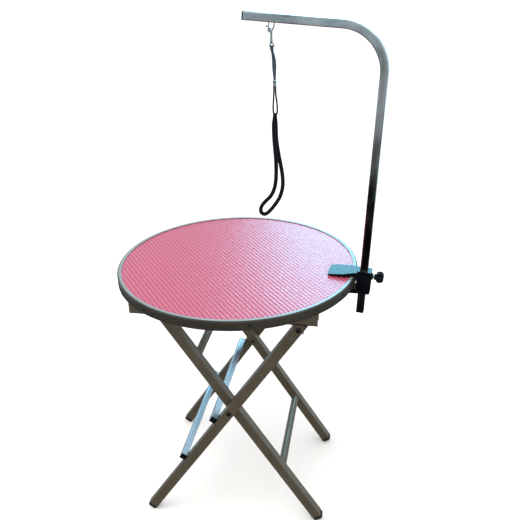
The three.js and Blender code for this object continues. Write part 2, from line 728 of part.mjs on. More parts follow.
// The padded noose: down one strand, round the bottom and back up the other.
const nooseRoute = [
  [5.4, -4.8, -208.2], [4.9, -4.8, -222], [4.9, -4.8, -240], [5.6, -4.8, -258], [7.2, -4.8, -280],
  [8.8, -4.8, -300], [9.3, -4.4, -318], [8.8, -3.4, -336], [7.4, -2.2, -354], [3.4, -1.2, -374],
  [-5.8, -0.3, -393.5], [-18.5, 0, -407.5], [-27.6, 0, -419], [-31.4, 0, -431], [-28.2, 0, -439.2],
  [-20.6, 0, -440.6], [-11, 0, -433.6], [3.1, 0, -416], [16.4, 0.2, -394], [22.8, 1.2, -370],
  [22.9, 2.2, -348], [20, 3.4, -328], [16, 4.5, -309], [12.4, 4.8, -290], [9.2, 4.8, -270],
  [7.4, 4.8, -250], [6.8, 4.8, -229], [6.8, 4.8, -208.2],
];

const curveOf = (route) =>
  new THREE.CatmullRomCurve3(route.map((point) => new THREE.Vector3(...point)), false, 'centripetal');

// An oval cord section carried along a route; its width lies across the route's own plane.
function cordSolid(route, width, thickness, steps, sides) {
  const section = new THREE.Shape();
  for (let i = 0; i < sides; i += 1) {
    const angle = ((i + 0.5) / sides) * 2 * Math.PI;
    const point = [(thickness / 2) * Math.cos(angle), (width / 2) * Math.sin(angle)];
    if (i) section.lineTo(...point);
    else section.moveTo(...point);
  }
  return new THREE.ExtrudeGeometry(section, { steps, bevelEnabled: false, extrudePath: curveOf(route) });
}

// The snap's fixed part: a hook over the pin, its body, and the socket for the swivel.
function makeSnapHook() {
  const hook = [
    [0.5, 0, -27], [3.6, 0, -22], [6.1, 0, -15], [hookReach, 0, -6], [5.2, 0, 0.6], [2.6, 0, 3.6],
    [-1.2, 0, 3.9], [-4.4, 0, 1.8], [-5.8, 0, -2.2],
  ];
  const wire = cordSolid(hook, 2 * hookWire, 2 * hookWire, 14, 8);
  const body = turned([
    [0, -swivelDrop + gap], [3.4, -swivelDrop + gap], [3.6, -44], [2.6, -42], [2.5, -32], [2.9, -27],
    [2.2, -24], [0, -23.6],
  ], 12);
  const guide = block([snapBoltX - 2.2, -guideHalf, guideBottom], [-0.5, guideHalf, guideTop]);
  const boltHole = rod(hookWire + gap, -40, -12, 10).translate(snapBoltX, 0, 0);
  const studSlot = block([snapBoltX - 3, -1.5, -40], [snapBoltX, 1.5, -12]);
  return carve(join(wire, [body, guide]), [boltHole, studSlot]);
}

// The sliding bolt that closes the hook, with its thumb stud.
function makeSnapBolt() {
  const shaft = rod(hookWire - 0.2, boltEnd, boltStart, 10);
  const stud = alongX(turned([[0, -6.5], [1.9, -6.1], [2.1, -4.6], [1.1, -3.8], [1.1, 0], [0, 0]], 10));
  return join(shaft, [stud.translate(0, 0, -studDrop)]).translate(snapBoltX, 0, 0);
}

// The eye below the snap that turns freely and takes the strap.
function makeSwivelEye() {
  const [eyeRadius, wire] = swivelEye;
  const ring = new THREE.TorusGeometry(eyeRadius, wire, 6, 14).rotateX(Math.PI / 2);
  ring.translate(0.6, 0, -eyeDrop);
  const neck = turned([
    [0, -swivelDrop - 4.4], [2.2, -swivelDrop - 3.6], [3.0, -swivelDrop], [0, -swivelDrop],
  ], 12);
  return join(ring, [neck]);
}

function makeCrimp() {
  const body = drawn(roundedSquare(crimpWidth, 1.8), 2 * crimpHalf).scale(1, crimpDepth / crimpWidth, 1);
  return body.translate(crimpX, 0, -crimpDrop - crimpHalf);
}

function buildLeash() {
  piece(leashFrame, 'snap_hook', makeSnapHook(), zinc);
  piece(leashFrame, 'snap_bolt', makeSnapBolt(), zinc);
  piece(leashFrame, 'swivel_eye', makeSwivelEye(), zinc);
  piece(leashFrame, 'leash_strap', cordSolid(strapRoute, strapThickness, strapWidth, 10, 10), blueWebbing);
  piece(leashFrame, 'strap_crimp', makeCrimp(), zinc);
  piece(leashFrame, 'thin_loop', cordSolid(thinRoute, thinCord, thinCord, 28, 8), blackPadding);
  piece(leashFrame, 'noose_loop', cordSolid(nooseRoute, nooseCord, nooseCord, 40, 8), blackPadding);
}

// ---------------------------------------------------------------- assembly

buildTabletop(onAxis);
buildOuterFrame(outerFrame);
buildInnerFrame(innerFrame);
buildClampAndArm();
buildLeash();

// The origin is on the floor, under the middle of the whole object's outline.
groomingTable.updateMatrixWorld(true);
const outline = new THREE.Box3().setFromObject(groomingTable, true);
onAxis.position.x = -(outline.min.x + outline.max.x) / 2;
onAxis.position.y = -(outline.min.y + outline.max.y) / 2;

export default groomingTable;
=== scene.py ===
"""The finished look of a round folding grooming table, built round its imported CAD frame.

Metres, +Z up, in the frame's own coordinates. Local frames carry the pieces: OUTER and INNER run
their +X up the legs from the scissor pivot, RIM stands on the table's axis at the rim's upper
edge with +X towards the clamp, POLE stands up the arm's pole, ARM runs its +X along the arm to
its tip with +Z below it, and LEASH hangs from the arm's cross pin.
"""
import json
from math import atan2, ceil, copysign, cos, hypot, pi, radians, sin, tan

import bmesh
import bpy
from mathutils import Matrix, Vector


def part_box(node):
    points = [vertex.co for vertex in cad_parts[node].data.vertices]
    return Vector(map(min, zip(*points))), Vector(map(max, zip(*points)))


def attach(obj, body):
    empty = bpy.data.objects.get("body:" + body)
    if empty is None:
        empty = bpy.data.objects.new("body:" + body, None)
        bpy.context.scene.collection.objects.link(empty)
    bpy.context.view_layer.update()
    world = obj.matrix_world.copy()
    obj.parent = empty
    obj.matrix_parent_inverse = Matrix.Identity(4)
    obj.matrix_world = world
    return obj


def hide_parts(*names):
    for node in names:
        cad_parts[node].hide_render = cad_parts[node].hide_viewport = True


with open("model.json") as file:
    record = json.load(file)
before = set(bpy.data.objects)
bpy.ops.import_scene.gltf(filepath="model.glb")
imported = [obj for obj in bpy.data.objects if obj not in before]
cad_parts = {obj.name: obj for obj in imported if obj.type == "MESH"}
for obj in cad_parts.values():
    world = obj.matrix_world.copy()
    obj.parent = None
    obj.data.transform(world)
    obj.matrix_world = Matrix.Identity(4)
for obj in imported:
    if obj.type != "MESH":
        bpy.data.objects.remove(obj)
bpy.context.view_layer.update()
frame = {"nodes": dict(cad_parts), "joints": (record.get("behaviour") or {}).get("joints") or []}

# ------------------------ places

HERE = Matrix.Identity(4)


def at(x=0.0, y=0.0, z=0.0):
    return Matrix.Translation((x, y, z))


def turned(angle, axis):
    return Matrix.Rotation(angle, 4, axis)


# ------------------------ driving sizes

joints = {joint["name"]: joint for joint in frame["joints"]}
PIVOT = Vector(joints["frame_fold"]["pos_m"])
HINGE = Vector(joints["top_lift"]["pos_m"])
PIN = Vector(joints["leash_swing"]["pos_m"])
rim_low, rim_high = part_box("edge_rim")
AXIS_X = (rim_low.x + rim_high.x) / 2
RIM_TOP = rim_high.z
RIM_RADIUS = (rim_high.x - rim_low.x) / 2
BOARD_LOW, BOARD_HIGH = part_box("top_board")
MAT_LOW, MAT_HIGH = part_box("top_mat")

GAP = 0.0003  # air left between a piece and the one it stands on
OUTER_ANGLE = atan2(HINGE.z - PIVOT.z, HINGE.x - PIVOT.x)
INNER_ANGLE = radians(122.5)
CLAMP_ANGLE = radians(-7)
CLAMP_LEAN = radians(2.25)

LEG_SIDE = 0.025
LEG_WALL = 0.0013
LEG_CORNER = 0.0025
OUTER_Y = 0.1823
INNER_Y = 0.1545
OUTER_UP, OUTER_DOWN = 0.328, 0.416
INNER_UP, INNER_DOWN = 0.345, 0.4116
OUTER_FACE = OUTER_Y + LEG_SIDE / 2
INNER_FACE = INNER_Y - LEG_SIDE / 2
BAR_SIDE = 0.016
BAR_WALL = 0.0012
BAR_CORNER = 0.0013
BAR_ENDS = {"near": 0.1915, "far": 0.1745}
BAR_ALONG = (-0.045, -0.204)
ROUND_BARS = {
    "inner_bar_upper": (0.158, 0.010),
    "inner_bar_lower": (-0.234, 0.010),
    "latch_bar": (0.331, 0.008),
}
CAP_THICKNESS = 0.003

RAIL_HALF = 0.221
RAIL_INSIDE = 0.026
RAIL_WALL = 0.0015
RAIL_BOTTOM = 0.634
RAIL_TOP = BOARD_LOW.z - GAP
EAR_BOTTOM = 0.611
EAR_HALF = 0.0125
CATCH_Y = 0.100

POLE_RADIUS = 0.3185
POLE_SIDE = 0.018
POLE_WALL = 0.0012
POLE_DOWN = 0.099
ARM_CORNER = 0.5548
ARM_REACH = 0.305
ARM_TURN = radians(88)
ARM_BEND = 0.095
LEASH_RADIUS = 0.0954
BEND_HEIGHT = ARM_CORNER - ARM_BEND * tan(ARM_TURN / 2)
KNOB_Z = -0.002
KNOB_OUT = 0.0255

OUTER = Matrix.Translation(PIVOT) @ turned(-OUTER_ANGLE, "Y")
INNER = Matrix.Translation(PIVOT) @ turned(-INNER_ANGLE, "Y")
TABLE = at(AXIS_X)
RIM = at(AXIS_X, 0, RIM_TOP) @ turned(CLAMP_ANGLE, "Z")
POLE = RIM @ at(POLE_RADIUS) @ turned(CLAMP_LEAN, "Y")
ARM = POLE @ at(z=ARM_CORNER) @ turned(-pi / 2 - ARM_TURN, "Y")
LEASH = Matrix.Translation(PIN) @ turned(CLAMP_ANGLE, "Z")

ALONG_X = turned(pi / 2, "Y")
ALONG_Y = turned(-pi / 2, "X")
DOWN = turned(pi, "X")
SIDES = (("near", -1), ("far", 1))
ROUND = radians(60)  # cords, rings and the knob are shaded smooth over edges up to this angle


# ------------------------ camera, world and lights

def make_camera():
    data = bpy.data.cameras.new("camera")
    data.sensor_width = 36
    data.lens = 42.16
    camera = bpy.data.objects.new("camera", data)
    right = Vector((0.98511, 0.17075, -0.02018))
    up = Vector((-0.05563, 0.42759, 0.90226))
    back = Vector((0.16269, -0.8877, 0.43072))
    turn = Matrix((right, up, back)).transposed().to_4x4()
    camera.matrix_world = at(AXIS_X + 0.3068, -1.3604, 1.3559) @ turn
    bpy.context.scene.collection.objects.link(camera)
    bpy.context.scene.camera = camera


def make_light(name, place, target, size, power, color):
    data = bpy.data.lights.new(name, "AREA")
    data.shape = "RECTANGLE"
    data.size, data.size_y = size
    data.energy = power
    data.color = color
    light = bpy.data.objects.new(name, data)
    light.location = place
    light.rotation_euler = (Vector(target) - Vector(place)).to_track_quat("-Z", "Y").to_euler()
    bpy.context.scene.collection.objects.link(light)
    return light


def with_values(node, **values):
    """The node with plain values on its sockets; an underscore stands for a space in their names."""
    for name, value in values.items():
        node.inputs[name.replace("_", " ")].default_value = value
    return node


def new_node(nodes, kind, **values):
    return with_values(nodes.new(f"ShaderNode{kind}"), **values)


def color_ramp(nodes, stops):
    """A colour ramp node with stops of (position, colour)."""
    ramp = new_node(nodes, "ValToRGB")
    elements = ramp.color_ramp.elements
    for element, (position, color) in ((elements[0], stops[0]), (elements[1], stops[-1])):
        element.position, element.color = position, (*color, 1)
    for position, color in stops[1:-1]:
        elements.new(position).color = (*color, 1)
    return ramp


FRONT_ROOM = (
    (0.0, (0.02, 0.017, 0.013)), (0.30, (0.005, 0.004, 0.004)), (0.345, (0.006, 0.006, 0.006)),
    (0.3675, (0.09, 0.088, 0.085)), (0.3925, (0.28, 0.285, 0.28)), (0.415, (0.36, 0.38, 0.39)),
    (0.465, (0.36, 0.44, 0.48)), (0.55, (0.45, 0.55, 0.62)), (1.0, (0.8, 0.95, 1.0)),
)
BACK_ROOM = (
    (0.0, (0.12, 0.15, 0.18)), (0.29, (0.06, 0.07, 0.09)), (0.34, (0.5, 0.65, 0.75)),
    (0.375, (0.95, 1.2, 1.3)), (0.45, (0.7, 0.95, 1.1)), (1.0, (0.7, 0.9, 1.0)),
)
DOME = 1.25
FLOOR = 60.0


def make_world():
    """White to the camera, an even dome for soft light, and a room for the metals to mirror.

    The room is dark below the horizon in front of the table and pale blue behind it.
    """
    world = bpy.data.worlds.new("studio")
    bpy.context.scene.world = world
    world.use_nodes = True
    nodes, links = world.node_tree.nodes, world.node_tree.links
    nodes.clear()

    def spread(value, low, high):
        node = new_node(nodes, "MapRange", From_Min=low, From_Max=high)
        links.new(value, node.inputs["Value"])
        return node.outputs["Result"]

    def mixed(share, first, second):
        node = new_node(nodes, "MixShader")
        links.new(share, node.inputs["Fac"])
        links.new(first.outputs[0], node.inputs[1])
        links.new(second.outputs[0], node.inputs[2])
        return node

    def glow(color, strength=1.0):
        node = new_node(nodes, "Background", Strength=strength)
        if isinstance(color, tuple):
            node.inputs["Color"].default_value = (*color, 1)
        else:
            links.new(color, node.inputs["Color"])
        return node

    split = new_node(nodes, "SeparateXYZ")
    links.new(new_node(nodes, "TexCoord").outputs["Generated"], split.inputs[0])
    rooms = []
    for stops in (FRONT_ROOM, BACK_ROOM):
        ramp = color_ramp(nodes, stops)
        links.new(spread(split.outputs["Z"], -1, 1), ramp.inputs["Fac"])
        rooms.append(glow(ramp.outputs["Color"]))
    room = mixed(spread(split.outputs["Y"], -0.1, 0.35), *rooms)
    path = new_node(nodes, "LightPath")
    unseen = mixed(path.outputs["Is Glossy Ray"], glow((1.0, 0.995, 0.985), DOME), room)
    output = new_node(nodes, "OutputWorld")
    seen = mixed(path.outputs["Is Camera Ray"], unseen, glow((1.0, 1.0, 1.0)))
    links.new(seen.outputs[0], output.inputs["Surface"])


def make_studio():
    bpy.context.scene.view_settings.view_transform = "Standard"
    make_world()
    window = make_light("window", (0.21, 2.2, 1.925), (0.21, 0, 1.925), (1.08, 1.55), 41, (0.22, 0.74, 1.0))
    window.visible_diffuse = False
    ceiling = make_light("ceiling", (-0.4, -0.5, 2.8), (0, 0, 0.6), (1.6, 1.6), 26, (1.0, 0.97, 0.93))
    ceiling.visible_glossy = False
    corners = [(-FLOOR, -FLOOR, 0), (FLOOR, -FLOOR, 0), (FLOOR, FLOOR, 0), (-FLOOR, FLOOR, 0)]
    floor = new_object("floor", mesh_of(corners, [(0, 1, 2, 3)]), HERE)
    floor.data.materials.append(plain("floor", (0.97, 0.97, 0.97), 0.9))
    floor.visible_glossy = False


# ------------------------ mesh helpers

def mesh_of(verts, faces, sharp=radians(32), merge=1e-6):
    """A mesh with merged corners, faces out, smooth but for edges sharper than the angle."""
    mesh = bpy.data.meshes.new("mesh")
    work = bmesh.new()
    made = [work.verts.new(v) for v in verts]
    for face in faces:
        work.faces.new([made[i] for i in face])
    bmesh.ops.remove_doubles(work, verts=work.verts, dist=merge)
    bmesh.ops.dissolve_degenerate(work, edges=work.edges, dist=merge)
    bmesh.ops.recalc_face_normals(work, faces=work.faces)
    work.to_mesh(mesh)
    work.free()
    mesh.shade_smooth()
    mesh.set_sharp_from_angle(angle=sharp)
    return mesh


def new_object(name, mesh, where):
    obj = bpy.data.objects.new(name, mesh)
    obj.matrix_world = where
    bpy.context.scene.collection.objects.link(obj)
    return obj


def arc(centre, radius, start, end, steps):
    """Points on an arc, angles in degrees."""
    angles = [radians(start + (end - start) * i / steps) for i in range(steps + 1)]
    return [(centre[0] + radius * cos(a), centre[1] + radius * sin(a)) for a in angles]


def fillet(points, radius, steps=5):
    """The same outline with its corners rounded. Radius is one number, or one for each corner."""
    radii = [radius] * len(points) if isinstance(radius, (int, float)) else radius
    result = []
    for i, (point, r) in enumerate(zip(points, radii)):
        here = Vector(point)
        before = (Vector(points[i - 1]) - here).normalized()
        after = (Vector(points[(i + 1) % len(points)]) - here).normalized()
        bend = before.angle(after)
        if r <= 0 or bend > pi - 1e-3:
            result.append(tuple(here))
            continue
        reach = r / tan(bend / 2)
        centre = here + (before + after).normalized() * (r / sin(bend / 2))
        start = (here + before * reach - centre).normalized()
        end = (here + after * reach - centre).normalized()
        result += [tuple(centre + start.slerp(end, k / steps) * r) for k in range(steps + 1)]
    return result


def rectangle(width, depth, radius=0.0, steps=5):
    w, d = width / 2, depth / 2
    return fillet([(-w, -d), (w, -d), (w, d), (-w, d)], radius, steps)


def square(side, radius=0.0, steps=5):
    return rectangle(side, side, radius, steps)


def circle(count):
    """Even angles once round."""
    return [2 * pi * i / count for i in range(count)]


def skin(sections, closed=False, sharp=radians(32)):
    """A mesh over sections that have as many points each, with the two ends filled unless closed."""
    count = len(sections[0])
    verts = [v for section in sections for v in section]
    faces = []
    spans = len(sections) if closed else len(sections) - 1
    for s in range(spans):
        a, b = s * count, ((s + 1) % len(sections)) * count
        faces += [(a + i, a + (i + 1) % count, b + (i + 1) % count, b + i) for i in range(count)]
    if not closed:
        faces += [tuple(reversed(range(count))), tuple(range(len(verts) - count, len(verts)))]
    return mesh_of(verts, faces, sharp)


def lathe(profile, segments=48, start=0.0, sweep=360.0, closed=False):
    """A solid of revolution about +Z from (radius, height) points: from axis to axis, or a loop."""
    full = sweep >= 360
    stations = segments if full else segments + 1
    verts, faces = [], []
    for s in range(stations):
        a = radians(start + sweep * s / segments)
        verts += [(r * cos(a), r * sin(a), z) for r, z in profile]
    count = len(profile)
    spans = count if closed else count - 1
    for s in range(segments):
        a, b = s * count, ((s + 1) % stations) * count
        for i in range(spans):
            j = (i + 1) % count
            faces.append((a + i, b + i, b + j, a + j))
    if not full:
        last = (stations - 1) * count
        faces += [tuple(range(count)), tuple(reversed(range(last, last + count)))]
    return mesh_of(verts, faces)


def extruded(outline, low, high, hole=None):
    """An outline in XY drawn out along +Z, with an optional hole that has as many points."""
    bottom = [(x, y, low) for x, y in outline]
    top = [(x, y, high) for x, y in outline]
    if hole is None:
        return skin([bottom, top])
    inner_top = [(x, y, high) for x, y in hole]
    inner_bottom = [(x, y, low) for x, y in hole]
    return skin([bottom, top, inner_top, inner_bottom], closed=True)


def block(low, high):
    xs, ys, zs = zip(low, high)
    outline = [(xs[0], ys[0]), (xs[1], ys[0]), (xs[1], ys[1]), (xs[0], ys[1])]
    return extruded(outline, zs[0], zs[1])


def swept(section, stations):
    """A section carried through stations: (point, direction of its x, direction of its y)."""
    return skin([[point + out * x + aside * y for x, y in section] for point, out, aside in stations])


def bake(obj):
    """Applies the object's modifiers to its mesh."""
    graph = bpy.context.evaluated_depsgraph_get()
    mesh = bpy.data.meshes.new_from_object(obj.evaluated_get(graph))
    obj.modifiers.clear()
    obj.data = mesh
    return obj


def combine(mesh, others, operation):
    """The mesh joined with, or cut by, other meshes."""
    body = new_object("work", mesh, HERE)
    tools = [new_object("tool", other, HERE) for other in others]
    for tool in tools:
        modifier = body.modifiers.new("boolean", "BOOLEAN")
        modifier.object = tool
        modifier.operation = operation
        modifier.solver = "EXACT"
    bpy.context.view_layer.update()
    bake(body)
    result = body.data
    for obj in [body, *tools]:
        bpy.data.objects.remove(obj)
    result.shade_smooth()
    result.set_sharp_from_angle(angle=radians(32))
    return result


def soften(obj, width, segments, angle=35):
    """Rounds the object's sharp edges."""
    bevel = obj.modifiers.new("bevel", "BEVEL")
    bevel.width = width
    bevel.segments = segments
    bevel.limit_method = "ANGLE"
    bevel.angle_limit = radians(angle)
    bevel.miter_outer = "MITER_ARC"
    bpy.context.view_layer.update()
    bake(obj)
    obj.data.shade_smooth()
    obj.data.set_sharp_from_angle(angle=radians(50))
    normals = obj.modifiers.new("normals", "WEIGHTED_NORMAL")
    normals.keep_sharp = True
    return bake(obj)


def flat_faced(mesh):
    """The mesh with its broad faces shaded flat and only its rounded corners smooth."""
    obj = new_object("work", mesh, HERE)
    obj.modifiers.new("normals", "WEIGHTED_NORMAL").keep_sharp = True
    bpy.context.view_layer.update()
    result = bake(obj).data
    bpy.data.objects.remove(obj)
    return result


def moved(mesh, matrix):
    mesh.transform(matrix)
    return mesh


def smooth_line(points, steps):
    """A smooth centripetal line through given points, steps to each span."""
    nodes = [Vector(p) for p in points]
    nodes = [2 * nodes[0] - nodes[1], *nodes, 2 * nodes[-1] - nodes[-2]]
    line = []
    for i in range(1, len(nodes) - 2):
        p0, p1, p2, p3 = nodes[i - 1:i + 3]
        t1 = (p1 - p0).length ** 0.5
        t2 = t1 + (p2 - p1).length ** 0.5
        t3 = t2 + (p3 - p2).length ** 0.5
        for k in range(steps):
            t = t1 + (t2 - t1) * k / steps
            a1 = p0 * ((t1 - t) / t1) + p1 * (t / t1)
            a2 = p1 * ((t2 - t) / (t2 - t1)) + p2 * ((t - t1) / (t2 - t1))
            a3 = p2 * ((t3 - t) / (t3 - t2)) + p3 * ((t - t2) / (t3 - t2))
            b1 = a1 * ((t2 - t) / t2) + a2 * (t / t2)
            b2 = a2 * ((t3 - t) / (t3 - t1)) + a3 * ((t - t1) / (t3 - t1))
            line.append(b1 * ((t2 - t) / (t2 - t1)) + b2 * ((t - t1) / (t2 - t1)))
    line.append(nodes[-2])
    return line


def stations_along(line, aside=Vector((0, 1, 0))):
    """A frame at each point of a line that mostly bends in the plane square to aside."""
    result = []
    for i, point in enumerate(line):
        before, after = line[max(i - 1, 0)], line[min(i + 1, len(line) - 1)]
        tangent = (after - before).normalized()
        across = aside.cross(tangent).normalized()
        result.append((point, across, tangent.cross(across).normalized()))
    return result


# ------------------------ materials

def plain(name, color, roughness, metallic=0.0):
    material = bpy.data.materials.new(name)
    material.use_nodes = True
    shader = material.node_tree.nodes["Principled BSDF"]
    with_values(shader, Base_Color=(*color, 1), Roughness=roughness, Metallic=metallic)
    return material


STUD_PITCH = 0.00975
STUD_TURN = radians(38.2)
WAVE_UNIT = 20  # radians that a wave texture of scale 1 runs through in a metre


class Finish:
    """A procedural material built up in layers over one Principled shader."""

    def __init__(self, name, color, roughness, metallic=0.0, specular=0.5, sheen=(0.0, 0.5)):
        self.name = name
        self.material = plain(name, color, roughness, metallic)
        self.nodes = self.material.node_tree.nodes
        self.links = self.material.node_tree.links
        self.shader = self.nodes["Principled BSDF"]
        self.place = new_node(self.nodes, "TexCoord").outputs["Object"]
        weight, rough = sheen
        with_values(self.shader, Specular_IOR_Level=specular, Sheen_Weight=weight, Sheen_Roughness=rough)

    def noise(self, scale, detail=3, stretch=(1, 1, 1), rough=0.55):
        mapping = new_node(self.nodes, "Mapping", Scale=stretch)
        texture = new_node(self.nodes, "TexNoise", Scale=scale, Detail=detail, Roughness=rough)
        self.links.new(self.place, mapping.inputs["Vector"])
        self.links.new(mapping.outputs["Vector"], texture.inputs["Vector"])
        return texture.outputs["Fac"]

    def calc(self, operation, *values):
        """A maths node over numbers and textures."""
        node = new_node(self.nodes, "Math")
        node.operation = operation
        for socket, value in zip(node.inputs, values):
            if isinstance(value, (int, float)):
                socket.default_value = value
            else:
                self.links.new(value, socket)
        return node.outputs[0]

    def ramp(self, value, stops):
        ramp = color_ramp(self.nodes, stops)
        self.links.new(value, ramp.inputs["Fac"])
        return ramp.outputs["Color"]

    def tint(self, value, stops):
        """Base colour from a texture."""
        self.links.new(self.ramp(value, stops), self.shader.inputs["Base Color"])
        return self

    def shine(self, value, low, high):
        """Roughness between two numbers from a texture."""
        span = new_node(self.nodes, "MapRange", From_Min=0.3, From_Max=0.7, To_Min=low, To_Max=high)
        self.links.new(value, span.inputs["Value"])
        self.links.new(span.outputs["Result"], self.shader.inputs["Roughness"])
        return self

    def relief(self, *layers):
        """Bump from (texture, strength, distance) layers, one over another."""
        normal = None
        for value, strength, distance in layers:
            bump = new_node(self.nodes, "Bump", Strength=strength, Distance=distance)
            self.links.new(value, bump.inputs["Height"])
            if normal is not None:
                self.links.new(normal, bump.inputs["Normal"])
            normal = bump.outputs["Normal"]
        self.links.new(normal, self.shader.inputs["Normal"])
        return self


def drifting(name, color, roughness, metallic, tone, gloss=(), bumps=(), **more):
    """A finish whose tone and gloss drift: (noise, low, high) each. Bumps: (noise, strength, distance)."""
    finish = Finish(name, color, roughness, metallic, **more)
    grain, low, high = tone
    finish.tint(finish.noise(*grain), ((0.3, low), (0.7, high)))
    if gloss:
        finish.shine(finish.noise(*gloss[0]), *gloss[1:])
    if bumps:
        finish.relief(*[(finish.noise(*bump[0]), *bump[1:]) for bump in bumps])
    return finish


DRIFTING = (
    # Semi-gloss powder paint: fine orange peel, a slow drift of tone, small rubbed specks.
    drifting("frame_steel", (0.09, 0.072, 0.046), 0.42, 0.3,
             ((9, 5), (0.086, 0.068, 0.043), (0.108, 0.086, 0.057)), ((45, 4), 0.34, 0.52),
             [((900, 2), 0.08, 0.0001), ((60, 3), 0.05, 0.0005)], specular=0.7),
    drifting("zinc_hardware", (0.55, 0.56, 0.57), 0.32, 1.0,
             ((120, 4), (0.42, 0.42, 0.41), (0.62, 0.63, 0.64)), ((300, 4), 0.22, 0.42)),
    # Blackened fasteners, a little rubbed.
    drifting("dark_bolt", (0.012, 0.011, 0.009), 0.4, 0.3,
             ((150, 4), (0.008, 0.007, 0.006), (0.024, 0.021, 0.018)), ((300, 4), 0.3, 0.5)),
    # Painted shade and painted highlight on one rim metal: a darker satin copy for the wall, which faces
    # the dark room, and a lighter copy for the lip's upward-facing top.
    drifting("rim_metal", (0.045, 0.040, 0.031), 0.38, 0.4,
             ((14, 4), (0.041, 0.036, 0.028), (0.058, 0.052, 0.040)), ((80, 3, (1, 1, 6)), 0.32, 0.46),
             [((500, 3, (0.2, 0.2, 1)), 0.06, 0.0002)]),
    drifting("rim_lit_lip", (0.24, 0.27, 0.27), 0.35, 0.2,
             ((12, 4), (0.21, 0.24, 0.245), (0.26, 0.29, 0.295)), ((60, 3), 0.3, 0.4), specular=0.4),
    # Black enamel over a lightly pitted casting.
    drifting("clamp_casting", (0.002, 0.0025, 0.004), 0.25, 0.0,
             ((60, 4), (0.0015, 0.002, 0.003), (0.003, 0.004, 0.006)), ((60, 4), 0.2, 0.32),
             [((30, 2), 0.12, 0.0008)], specular=0.22),
    drifting("black_plastic", (0.003, 0.0035, 0.005), 0.3, 0.0,
             ((90, 3), (0.002, 0.0025, 0.003), (0.005, 0.006, 0.008)), ((200, 3), 0.24, 0.4),
             [((1500, 2), 0.08, 0.0001)], specular=0.14),
    drifting("black_rubber", (0.012, 0.012, 0.012), 0.7, 0.0,
             ((150, 3), (0.009, 0.009, 0.009), (0.021, 0.020, 0.019)), bumps=[((1200, 2), 0.2, 0.0002)]),
    # Soft brushed sleeve: short fibres and a slight bloom.
    drifting("black_cord", (0.003, 0.004, 0.006), 0.9, 0.0,
             ((300, 4), (0.002, 0.0025, 0.004), (0.005, 0.007, 0.012)), bumps=[((1400, 3), 0.5, 0.0003)],
             specular=0.15, sheen=(0.02, 0.5)),
)


def make_plated_bar():
    """Bright zinc plate with drawing lines along the bar, which runs along Y."""
    finish = Finish("plated_bar", (0.52, 0.56, 0.62), 0.2, 1.0)
    lines = finish.noise(700, 4, (1, 0.02, 1))
    tone = finish.noise(30, 3, (1, 0.15, 1))
    finish.tint(tone, ((0.3, (0.46, 0.50, 0.56)), (0.7, (0.60, 0.65, 0.71))))
    finish.shine(lines, 0.26, 0.36)
    return finish.relief((lines, 0.02, 0.0001))


def arm_coordinates(finish):
    """(Outwards, across, along) at any point of the bent tube, from its place in the pole's frame."""
    nodes, links, calc = finish.nodes, finish.links, finish.calc
    split = new_node(nodes, "SeparateXYZ")
    links.new(finish.place, split.inputs[0])
    past = calc("ADD", split.outputs["X"], ARM_BEND)
    fall = calc("MULTIPLY", calc("MINIMUM", past, 0.0), tan(pi / 2 - ARM_TURN))
    above = calc("ADD", calc("SUBTRACT", split.outputs["Z"], BEND_HEIGHT), fall)
    squares = [calc("POWER", calc("MAXIMUM", part, 0.0), 2.0) for part in (past, above)]
    reach = calc("ADD", *squares)
    join = new_node(nodes, "CombineXYZ")
    links.new(calc("SQRT", reach, 0.0), join.inputs["X"])
    links.new(split.outputs["Y"], join.inputs["Y"])
    links.new(calc("SUBTRACT", split.outputs["Z"], split.outputs["X"]), join.inputs["Z"])
    return join.outputs[0]


def make_arm_chrome():
    """Bright plate with fine lengthwise brushing and a few soft smears, whose pale patches are also painted
    reflections.
    """
    finish = Finish("arm_chrome", (0.62, 0.65, 0.66), 0.2, 1.0)
    finish.place = arm_coordinates(finish)
    lines = finish.noise(900, 5, (1, 1, 0.012))
    smears_and_reflections = finish.noise(55, 4, (1, 1, 0.25))
    # the smears' pale tone is partly a painted reflection: bright patches along the arm
    finish.tint(smears_and_reflections, ((0.32, (0.40, 0.40, 0.39)), (0.5, (0.62, 0.65, 0.66)), (0.68, (0.86, 0.90, 0.90))))
    finish.shine(smears_and_reflections, 0.08, 0.22)
    return finish.relief((lines, 0.05, 0.0001), (smears_and_reflections, 0.08, 0.0006))


def make_pink_mat():
    """Soft moulded rubber with painted shade: darker down in the grooves between its ribs."""
    finish = Finish("pink_mat", (0.44, 0.08, 0.15), 0.3, specular=0.6)
    turn = new_node(finish.nodes, "Mapping", Rotation=(0, 0, -STUD_TURN))
    ribs = new_node(finish.nodes, "TexWave", Scale=2 * pi / (WAVE_UNIT * STUD_PITCH))
    finish.links.new(finish.place, turn.inputs["Vector"])
    finish.links.new(turn.outputs["Vector"], ribs.inputs["Vector"])
    depth = finish.calc("MULTIPLY_ADD", finish.noise(35, 5), 0.25, ribs.outputs["Fac"])
    # painted shade: the groove, slope and crest tones darken the colour down into the grooves
    groove, slope, crest = (0.30, 0.036, 0.09), (0.42, 0.070, 0.135), (0.48, 0.095, 0.16)
    finish.tint(depth, ((0.12, groove), (0.5, slope), (1.0, crest)))
    finish.shine(finish.noise(60), 0.24, 0.30)
    return finish.relief((finish.noise(1800, 2), 0.02, 0.0001))


def make_board():
    """Sealed panel: long grain along X with paler and darker streaks."""
    finish = Finish("board", (0.42, 0.30, 0.18), 0.62)
    grain = finish.noise(60, 6, (0.08, 1, 1), 0.65)
    finish.tint(grain, ((0.3, (0.33, 0.22, 0.12)), (0.5, (0.45, 0.32, 0.19)), (0.7, (0.54, 0.41, 0.26))))
    return finish.relief((grain, 0.15, 0.0003))


